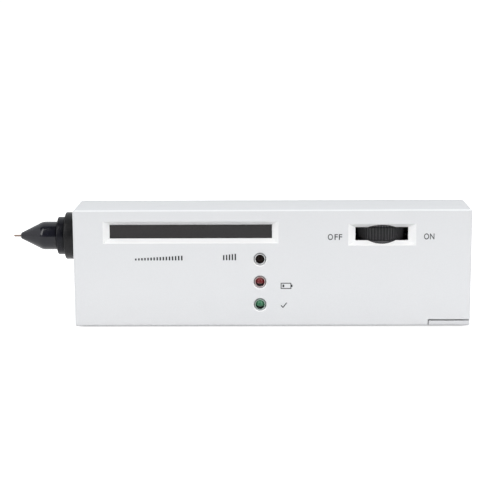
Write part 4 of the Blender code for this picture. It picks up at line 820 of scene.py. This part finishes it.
CAD_FOOT_TOP, FOOT_DROP = 1.95 * MM, 0.15 * MM
FOOT_TOP = CAD_FOOT_TOP - FOOT_DROP
FOOT_RIM_RIGHT, FOOT_RIM_ROUND = 77.61 * MM, 0.25 * MM
door = merged_copy("battery_door", "sliding_door")


def foot_rim(point):
    """True along the top of the foot's front face."""
    on_front = abs(point.y - FRONT) < ON_PLANE and point.x < FOOT_RIM_RIGHT
    return on_front and 0.75 * MM < point.z < FOOT_TOP + ON_PLANE


def faces_case(centre, normal):
    """True on the foot's top, which faces the notch of the case."""
    in_gap = centre.y < FRONT + 2.05 * MM and centre.z < FOOT_TOP + ON_PLANE
    return in_gap and normal.z > 0.75


pick("verts", lambda point: point.y < FRONT + 1.35 * MM and abs(point.z - CAD_FOOT_TOP) < ON_PLANE)
bpy.ops.transform.translate(value=(0, 0, -FOOT_DROP))
print("foot edges rounded:", soften(foot_rim, FOOT_RIM_ROUND))
coat(door, DOOR_PAINT)
# The foot's top, facing the notch, is painted grey, a painted shade.
paint_faces(door, PAINTED_SHADE_GAP_GREY, faces_case)
hand_over_shell(door, "door", "battery_door")

# %% Nose
NOSE_REACH, NOSE_HEIGHT = 21.9 * MM, 29.5 * MM
NOSE_AXIS = Vector((cad_low.x + NOSE_REACH, 0, NOSE_HEIGHT))
OUTWARDS = (-1, 0, 0)
collar = lathe(
    "nose_collar",
    [(8.5, 3.3, 0), (3.7, 3.3, 0), (3.7, 8.1, 0.35), (0.3, 8.1, 0.2), (0.3, 5.5, 0),
     (-7.5, 5.5, 0), (-7.5, 2.6, 0), (8.5, 2.6, 0)],
    NOSE_AXIS, OUTWARDS,
)
hand_over(collar, COLLAR_BLACK, "housing", "black_plastic", "nose_base")
ring = lathe(
    "nose_step",
    [(6.4, 3.6, 0), (6.4, 6.5, 0.35), (4.0, 6.5, 0.12), (4.0, 3.6, 0)],
    NOSE_AXIS, OUTWARDS,
)
hand_over(ring, RING_BLACK, "housing", "black_plastic", "nose_ring")
cap = lathe(
    "nose_cone",
    [(19.4, 0.6, 0), (19.4, 0.98, 0.34), (11.7, 4.85, 0.8), (6.7, 4.85, 0.15), (6.7, 3.6, 0),
     (12.0, 3.6, 0), (12.0, 2.4, 0)],
    NOSE_AXIS, OUTWARDS, steps=128, segments=8,
)
hand_over(cap, CAP_BLACK, "housing", "black_plastic", "nose_cap")

# %% Needle
needle = lathe(
    "sprung_needle",
    [(21.9, 0, 0), (21.9, 0.2, 0), (21.6, 0.36, 0.08), (18.8, 0.36, 0), (18.4, 0.28, 0),
     (15.5, 0.28, 0), (15.5, 0, 0)],
    NOSE_AXIS, OUTWARDS, steps=40, closed=False,
)
hand_over(needle, COPPER, "probe", "copper", "probe_needle")

# %% [markdown]
# The return spring lies inside the nose, between the plunger and the retainer. It could be wound
# again, but its solid is right already, so a merged copy with its own mesh stands for it. A real
# spring gets shorter when the needle is pressed.

# %% Return spring
spring = merged_copy("probe_spring", "return_spring")
smooth(50)
hand_over(spring, STEEL, "housing", "steel", "probe_spring")
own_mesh(spring)

# %% [markdown]
# Each status lamp is a bullet with a round tip, a flange at its foot and two legs, and inside it
# a small cup on a post. The post's broad head lies below the cup and is black, a painted shade
# that darkens the lower half of the lamp. One lamp is made at the top place, and the two others
# are copies of it, moved down the column and given their own resin.

# %% Status lamp, made once
LAMP_FOOT, BOARD_SEAT = FRONT + 5.4 * MM, 5.8 * MM
LEG_WIDTH, LEG_PITCH, BLOCK_EASE = 0.5 * MM, 2.54 * MM, 0.05 * MM
CUP_SHIFT = Vector((0, 0, 0.25 * MM))
HEAD_SHIFT, HEAD_SIZE, HEAD_REACH = Vector((0, -2.6 * MM, -0.85 * MM)), 0.7 * MM, 1.6 * MM


def pull_block(name, size, centre, reach):
    """A cube stretched along Y by reach, with its corners taken off."""
    deselect_all()
    bpy.ops.mesh.primitive_cube_add(size=size, location=centre)
    block = begin(name)
    pick("faces", lambda middle, normal: normal.y > 0.5)
    bpy.ops.transform.translate(value=(0, reach, 0))
    pick("edges", lambda point: True)
    bpy.ops.mesh.bevel(offset=BLOCK_EASE, segments=1, affect="EDGES")
    return close_up(block)


def first_lamp():
    foot = Vector((LAMP_X, LAMP_FOOT, LAMP_HEIGHTS[0]))
    bullet = lathe(
        "lamp_top",
        [(5.3, 0, 0), (5.3, 1.5, 1.48), (1.0, 1.5, 0), (1.0, 1.9, 0.12), (0, 1.9, 0.08),
         (0, 0, 0)],
        foot, (0, -1, 0), steps=64, closed=False, segments=12,
    )
    bullet.data.materials.append(DARK_RESIN)
    cup = lathe(
        "lamp_cup",
        [(3.3, 0, 0), (3.3, 0.3, 0), (3.6, 0.7, 0), (3.2, 0.85, 0.1), (1.5, 0.5, 0), (0.6, 0.5, 0),
         (0.6, 0, 0)],
        foot + CUP_SHIFT, (0, -1, 0), steps=32, closed=False,
    )
    head = pull_block("lamp_post_head", HEAD_SIZE, foot + HEAD_SHIFT, HEAD_REACH)
    leg_reach = BOARD_SEAT - LAMP_FOOT - LEG_WIDTH / 2
    leg_places = [foot + Vector((side * LEG_PITCH / 2, 0, 0)) for side in (-1, 1)]
    legs = [pull_block("lamp_leg", LEG_WIDTH, place, leg_reach) for place in leg_places]
    # The head is black, a painted shade for the lower half of the lamp.
    head.data.materials.append(PAINTED_SHADE_AND_CHIP_EPOXY)
    for metal in (cup, *legs):
        metal.data.materials.append(STEEL)
    deselect_all()
    for part in (cup, head, *legs, bullet):
        activate(part)
    bpy.ops.object.join()
    return bullet


# %% Copies of the lamp
lamps = down_the_column(first_lamp(), ("lamp_middle", "lamp_bottom"))
resins = {"dark": DARK_RESIN, "red": RED_RESIN, "green": GREEN_RESIN}
for lamp, (colour, resin) in zip(lamps, resins.items()):
    lamp.data.materials[0] = resin
    hand_over(lamp, None, "housing", f"{colour}_lamp", f"status_led_{colour}")

# %% [markdown]
# Each lamp looks out of a small pale collar in the countersunk hole, and a narrow groove runs
# round the collar. The groove is painted grey, a painted shade, except low down. The collar stands
# a little below the front face. The first one has the lighter paint, a painted light; the low part
# of each bore is painted black, a painted shade, and the red and the green collar are tinted
# faintly with their lamp's colour, a painted reflection. It is turned once and copied for the
# other two.

# %% Lamp collars
COLLAR_BEHIND_FACE, SHADE_BELOW, COLLAR_BORE = 0.9 * MM, -0.7 * MM, 1.66 * MM
collar_top = lathe(
    "lamp_collar_top",
    [(0.03, 1.57, 0), (0.55, 1.57, 0.06), (0.55, 1.76, 0.06), (0.21, 1.76, 0)],
    (LAMP_X, FRONT + COLLAR_BEHIND_FACE, LAMP_HEIGHTS[0]), (0, -1, 0), steps=64, segments=3,
)
# The collar gets the lighter paint, a painted light.
coat(collar_top, PAINT_WITH_PAINTED_LIGHT)


def shaded_wall(centre, normal):
    """True on the low part of the bore, which no light reaches."""
    across, up_from = centre.x - LAMP_X, centre.z - LAMP_HEIGHTS[0]
    inward = across * normal.x + up_from * normal.z < 0 and abs(normal.y) < 0.9
    return inward and up_from < SHADE_BELOW and math.hypot(across, up_from) < COLLAR_BORE


switch_to("EDIT")
# The low part of the bore is painted black, a painted shade.
paint_faces(collar_top, PAINTED_SHADE_AND_CHIP_EPOXY, shaded_wall)
switch_to("OBJECT")
lamp_collars = down_the_column(collar_top, ("lamp_collar_middle", "lamp_collar_bottom"))
COLLAR_PAINTED_REFLECTIONS = {
    "red": ((226, 200, 198), (216, 184, 184)),
    "green": ((190, 214, 200), (174, 202, 188)),
}
# The red and the green collar are tinted with their lamp's colour, a painted reflection.
for lamp_collar, (name, tones) in zip(lamp_collars[1:], COLLAR_PAINTED_REFLECTIONS.items()):
    lamp_collar.data.materials[0] = moulded(f"collar_painted_reflection_by_the_{name}_lamp", *tones, 0.4, 0.55)
for lamp_collar in lamp_collars:
    hand_over(lamp_collar, None, "housing", "white_plastic")

# %% [markdown]
# The window is a flat strip of acrylic behind the recess. It starts as a cube of the strip's size,
# its back is inset and pushed in a little, so that it rests on a rim as a moulded lens does,
# and its edges are eased.

# %% Window
LENS_RIM, LENS_HOLLOW, LENS_EASE = 0.8 * MM, 0.2 * MM, 0.12 * MM
lens_low, lens_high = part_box("window_lens")
deselect_all()
lens_middle = (lens_low + lens_high) / 2
bpy.ops.mesh.primitive_cube_add(size=1, location=lens_middle, scale=lens_high - lens_low)
bpy.ops.object.transform_apply()
window = begin("smoked_window")
pick("faces", lambda middle, normal: normal.y > 0.5)
bpy.ops.mesh.inset(thickness=LENS_RIM, depth=-LENS_HOLLOW)
pick("edges", lambda point: abs(point.y - lens_low.y) < ON_PLANE)
bpy.ops.mesh.bevel(offset=LENS_EASE, segments=2, affect="EDGES")
close_up(window)
even_normals(window)
hand_over(window, SMOKED, "housing", "smoked_lens", "window_lens")

# %% [markdown]
# The thumbwheel is a disc with fifty ridges on its rim. Its outline is a circle with every
# second pair of points pulled in, raised in a few steps: a sloping edge, a fine groove, the ridged
# band, and the same again. The hollows above and below are then pushed in round the hub. The upper
# sloping edge is painted a lighter grey, a painted highlight, the lower one lighter still, a
# painted reflection, and the upper groove is painted dark, a painted shade.

# %% Thumbwheel
wheel_low, wheel_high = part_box("thumbwheel")
WHEEL_CENTRE = (wheel_low + wheel_high) / 2
WHEEL_RADIUS = (wheel_high.x - wheel_low.x) / 2
RIDGES, RIDGE_HEIGHT = 50, 0.45 * MM
# From the wheel's end to its ridged band: how far along, and how far inside the radius, in mm.
RIM_STEPS = ((0, 0.8), (0.06, 0.66), (0.72, 0.1), (0.8, 0.66), (1.02, 0.66), (1.1, 0))
# The hollows above and below, from the rim to the bore: radius and height over the end, in mm.
HOLLOW, HUB, BORE, DISH = 6.4, 3.6, 2.3, 1.6
HOLLOWS = {
    1: ((HOLLOW, 0), (HOLLOW, -DISH), (HUB, -DISH), (HUB, 0), (BORE, 0)),
    -1: ((HOLLOW, 0), (HOLLOW, -DISH), (BORE, -DISH)),
}


def widen(grow):
    bpy.ops.transform.resize(value=(grow, grow, 1), center_override=WHEEL_CENTRE)


def up(step, grow):
    """Raises the selected face by step and scales it to grow times its size."""
    bpy.ops.mesh.extrude_region_move(TRANSFORM_OT_translate={"value": (0, 0, step * MM)})
    widen(grow)


def in_groove(point):
    step = round(math.atan2(point.y, point.x) / (2 * math.pi) * RIDGES * 4)
    return step % 4 in (0, 1)


def shrink(drop):
    """The scale at which the rim lies drop millimetres inside the wheel's radius."""
    return 1 - drop * MM / WHEEL_RADIUS


deselect_all()
start = Vector((WHEEL_CENTRE.x, WHEEL_CENTRE.y, wheel_low.z))
bpy.ops.mesh.primitive_circle_add(
    vertices=RIDGES * 4, radius=WHEEL_RADIUS, fill_type="NGON", location=start,
)
wheel = begin("ridged_wheel")
print("groove points:", pick("verts", in_groove))
widen(1 - RIDGE_HEIGHT / WHEEL_RADIUS)
select_mesh()
widen(shrink(RIM_STEPS[0][1]))
thickness = (wheel_high.z - wheel_low.z) / MM
profile = [*RIM_STEPS, *((thickness - height, drop) for height, drop in reversed(RIM_STEPS))]
for (low, narrow), (high, wide) in zip(profile, profile[1:]):
    up(high - low, shrink(wide) / shrink(narrow))
bpy.ops.mesh.select_mode(type="FACE")


def at_end(end_z):
    """A test for the flat face at the end of the wheel that lies at this height."""
    def test(centre, normal):
        return abs(centre.z + start.z - end_z) < ON_PLANE and abs(normal.z) > 0.9
    return test


for side, hollow in HOLLOWS.items():
    pick("faces", at_end(wheel_high.z if side > 0 else wheel_low.z))
    reach, level = WHEEL_RADIUS / MM - RIM_STEPS[0][1], 0
    for step, (radius, height) in enumerate(hollow):
        up(side * (height - level), radius / reach)
        if step == 0:
            bpy.ops.transform.tosphere(value=1)
        reach, level = radius, height
    bpy.ops.mesh.delete(type="FACE")

# %% Bore and painted light of the thumbwheel
bpy.ops.mesh.select_mode(type="EDGE")
bpy.ops.mesh.select_all(action="DESELECT")
bpy.ops.mesh.select_non_manifold()
bpy.ops.mesh.bridge_edge_loops()
close_up(wheel, 28)
TOP, FOOT = wheel_high.z, wheel_low.z
PAINTED_SHADE_RUBBER, PAINTED_HIGHLIGHT_RUBBER, PAINTED_REFLECTION_RUBBER = (14, 14, 16), (98, 97, 100), (140, 140, 143)
# A painted shade in the upper groove, a painted highlight above it and a painted reflection low
# down.
for start_z, end_z, colour in (
    (TOP - 1.16 * MM, TOP - 1.08 * MM, PAINTED_SHADE_RUBBER),
    (TOP - 0.8 * MM, TOP - 0.72 * MM, PAINTED_HIGHLIGHT_RUBBER),
    (FOOT + 0.9 * MM, FOOT + 0.3 * MM, PAINTED_REFLECTION_RUBBER),
):
    tint(WHEEL_BLACK, towards(WHEEL_BLACK, "Z", start_z, end_z), colour)
hand_over(wheel, WHEEL_BLACK, "wheel", "wheel_black", "thumbwheel")

# %% [markdown]
# Four screws close the case from behind and two hold the board. Each is turned with a rounded
# head and a coarse thread for plastic, drawn as rings because a true helix would not be told
# from them at this size. Two tapered blocks then sink the cross. One screw of each kind is
# made and copied to the other places.

# %% Cross-head screws
ROOT_SHARE, PITCH_SHARE, FLANK_SHARE = 0.74, 0.7, 0.35
CROSS_LONG, CROSS_NARROW, CROSS_DEPTH = 1.15, 0.3, 1.3


def cross_screw(name, node, head, shank):
    """Turned from the box of its node: the outline counts inwards from the head's outer face."""
    low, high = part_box(node)
    top = Vector(((low.x + high.x) / 2, high.y, (low.z + high.z) / 2))
    length, radius = (high.y - low.y) / MM, (high.x - low.x) / 2 / MM
    root, pitch = shank * ROOT_SHARE, shank * PITCH_SHARE
    flank = pitch * FLANK_SHARE
    outline = [(0, 0, 0), (0, radius, head * 0.5), (-head, radius, 0.1), (-head, root, 0)]
    along = head + pitch
    while along < length - 2 * pitch:
        outline += [(-along, root, 0), (-along - flank, shank, 0), (-along - 2 * flank, root, 0)]
        along += pitch
    outline += [(-length + shank, root, 0), (-length, 0, 0)]
    screw = lathe(name, outline, top, (0, 1, 0), steps=32, closed=False, segments=4)
    long, narrow = radius * CROSS_LONG, radius * CROSS_NARROW
    for wide, tall in ((long, narrow), (narrow, long)):
        deselect_all()
        bpy.ops.mesh.primitive_cube_add(size=MM, location=top)
        block = begin("cross_block")
        bpy.ops.transform.resize(value=(wide, head * CROSS_DEPTH, tall), center_override=top)
        pick("faces", lambda middle, normal: normal.y < -0.5)
        bpy.ops.transform.resize(value=(0.5, 1, 0.5), center_override=top)
        close_up(block)
        carve(screw, block)
    return screw


def screw_set(name, node, count, head, shank):
    first = cross_screw(f"{name}_1", f"{node}_1", head, shank)
    places = [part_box(f"{node}_{number}")[0] for number in range(1, count + 1)]
    screws = [first] + [
        copy_of(first, f"{name}_{number}", place - places[0])
        for number, place in enumerate(places[1:], 2)
    ]
    for number, screw in enumerate(screws, 1):
        hand_over(screw, STEEL, "housing", "steel", f"{node}_{number}")


screw_set("case_cross_screw", "case_screw", 4, 1.6, 1.2)
screw_set("board_cross_screw", "board_screw", 2, 1.2, 0.9)

# %% [markdown]
# OFF and ON are printed beside the wheel. Blender's text tool sets the letters, they become a mesh
# as thin as a coat of ink, and they are fitted to their places. The other marks are plain signs:
# bars for the reading, a battery and a tick beside the lamps.

# %% Ink
INK = new_finish("printing_ink", (34, 35, 38), 0.5)
tint(INK, pattern(INK, 0.0004, 3, high=0.5), (50, 51, 54))
polish(INK, pattern(INK, 0.0006, 3, low=0.42, high=0.6))
relief(INK, pattern(INK, 0.0002, 2), 0.000004, 0.5)
INK_DEPTH = 0.03 * MM


def raise_ink(piece):
    """Gives a flat print on the front face the thickness of a coat of ink."""
    select_mesh()
    bpy.ops.mesh.extrude_region_move(TRANSFORM_OT_translate={"value": (0, -INK_DEPTH, 0)})
    close_up(piece)
    hand_over(piece, INK, "housing", "chip_black")


# %% Words at the switch
LETTER_WEIGHT, LETTER_SPACING = 0.01, 1.08


def printed(name, words, low_x, high_x, low_z, high_z):
    """Words fitted to a rectangle of the front face, given in millimetres."""
    deselect_all()
    bpy.ops.object.text_add(rotation=UPRIGHT)
    text = bpy.context.object
    text.data.body = words
    text.data.offset = LETTER_WEIGHT
    text.data.space_character = LETTER_SPACING
    bpy.ops.object.convert(target="MESH")
    bpy.ops.object.transform_apply()
    begin(name)
    axes = list(zip(*(corner.co for corner in text.data.vertices)))
    low, high = (Vector([end(places) for places in axes]) for end in (min, max))
    wider = (high_x - low_x) * MM / (high.x - low.x)
    taller = (high_z - low_z) * MM / (high.z - low.z)
    bpy.ops.transform.resize(value=(wider, 1, taller), center_override=low)
    bpy.ops.transform.translate(value=(low_x * MM - low.x, FRONT - high.y, low_z * MM - low.z))
    raise_ink(text)


printed("print_off_round", "O", 29.7, 31.42, 29.75, 31.77)
printed("print_off_straight", "FF", 31.97, 34.52, 29.78, 31.74)
printed("print_on", "ON", 62.06, 65.55, 29.87, 31.92)


# %% Plain marks
def bars(name, blocks):
    """Rectangles of ink, each given as low x, high x, low z and high z in millimetres."""
    deselect_all()
    for low_x, high_x, low_z, high_z in blocks:
        middle = Vector(((low_x + high_x) / 2 * MM, FRONT, (low_z + high_z) / 2 * MM))
        bpy.ops.mesh.primitive_plane_add(size=MM, location=middle, rotation=UPRIGHT)
        if bpy.context.object.mode == "OBJECT":
            bpy.ops.object.transform_apply()
            piece = begin(name)
        bpy.ops.transform.resize(value=(high_x - low_x, 1, high_z - low_z), center_override=middle)
    raise_ink(piece)


def rising_bars(low_x, high_x, low_z, high_z, count, first_share, last_share):
    """Upright bars at an even pitch, from a first to a last share of the height."""
    pitch = (high_x - low_x) / (count - 0.5)
    for step in range(count):
        share = first_share + (last_share - first_share) * step / (count - 1)
        left = low_x + step * pitch
        yield left, left + pitch / 2, low_z, low_z + (high_z - low_z) * share


bars("print_low_reading", rising_bars(-35.47, -19.39, 22.9, 25.1, 16, 0.3, 0.72))
bars("print_high_reading", rising_bars(-5.69, -1.29, 22.9, 25.1, 5, 0.8, 1.0))
LEFT, RIGHT, LOW, HIGH, LINE, JOINT = 13.8, 17.4, 12.95, 15.05, 0.28, 0.01
bars("print_battery", [
    (LEFT, RIGHT, LOW, LOW + LINE),
    (LEFT, RIGHT, HIGH - LINE, HIGH),
    (LEFT, LEFT + LINE, LOW + LINE + JOINT, HIGH - LINE - JOINT),
    (RIGHT - LINE, RIGHT, LOW + LINE + JOINT, HIGH - LINE - JOINT),
    (RIGHT, RIGHT + 0.4, LOW + 0.65, HIGH - 0.65),
    (LEFT + 0.6, LEFT + 1.2, LOW + 0.6, HIGH - 0.6),
])

# %% Tick
TICK_SHARES = ((0, 0.45), (0.1, 0.56), (0.36, 0.29), (0.92, 1.0), (1.03, 0.9), (0.37, 0.05))
TICK_LOW, TICK_SIZE = Vector((13.8 * MM, FRONT, 6.15 * MM)), 2.1 * MM
tick_corners = [TICK_LOW + Vector((x, 0, z)) * TICK_SIZE for x, z in TICK_SHARES]
tick = trace("print_tick", tick_corners, closed=True)
select_mesh()
bpy.ops.mesh.edge_face_add()
raise_ink(tick)
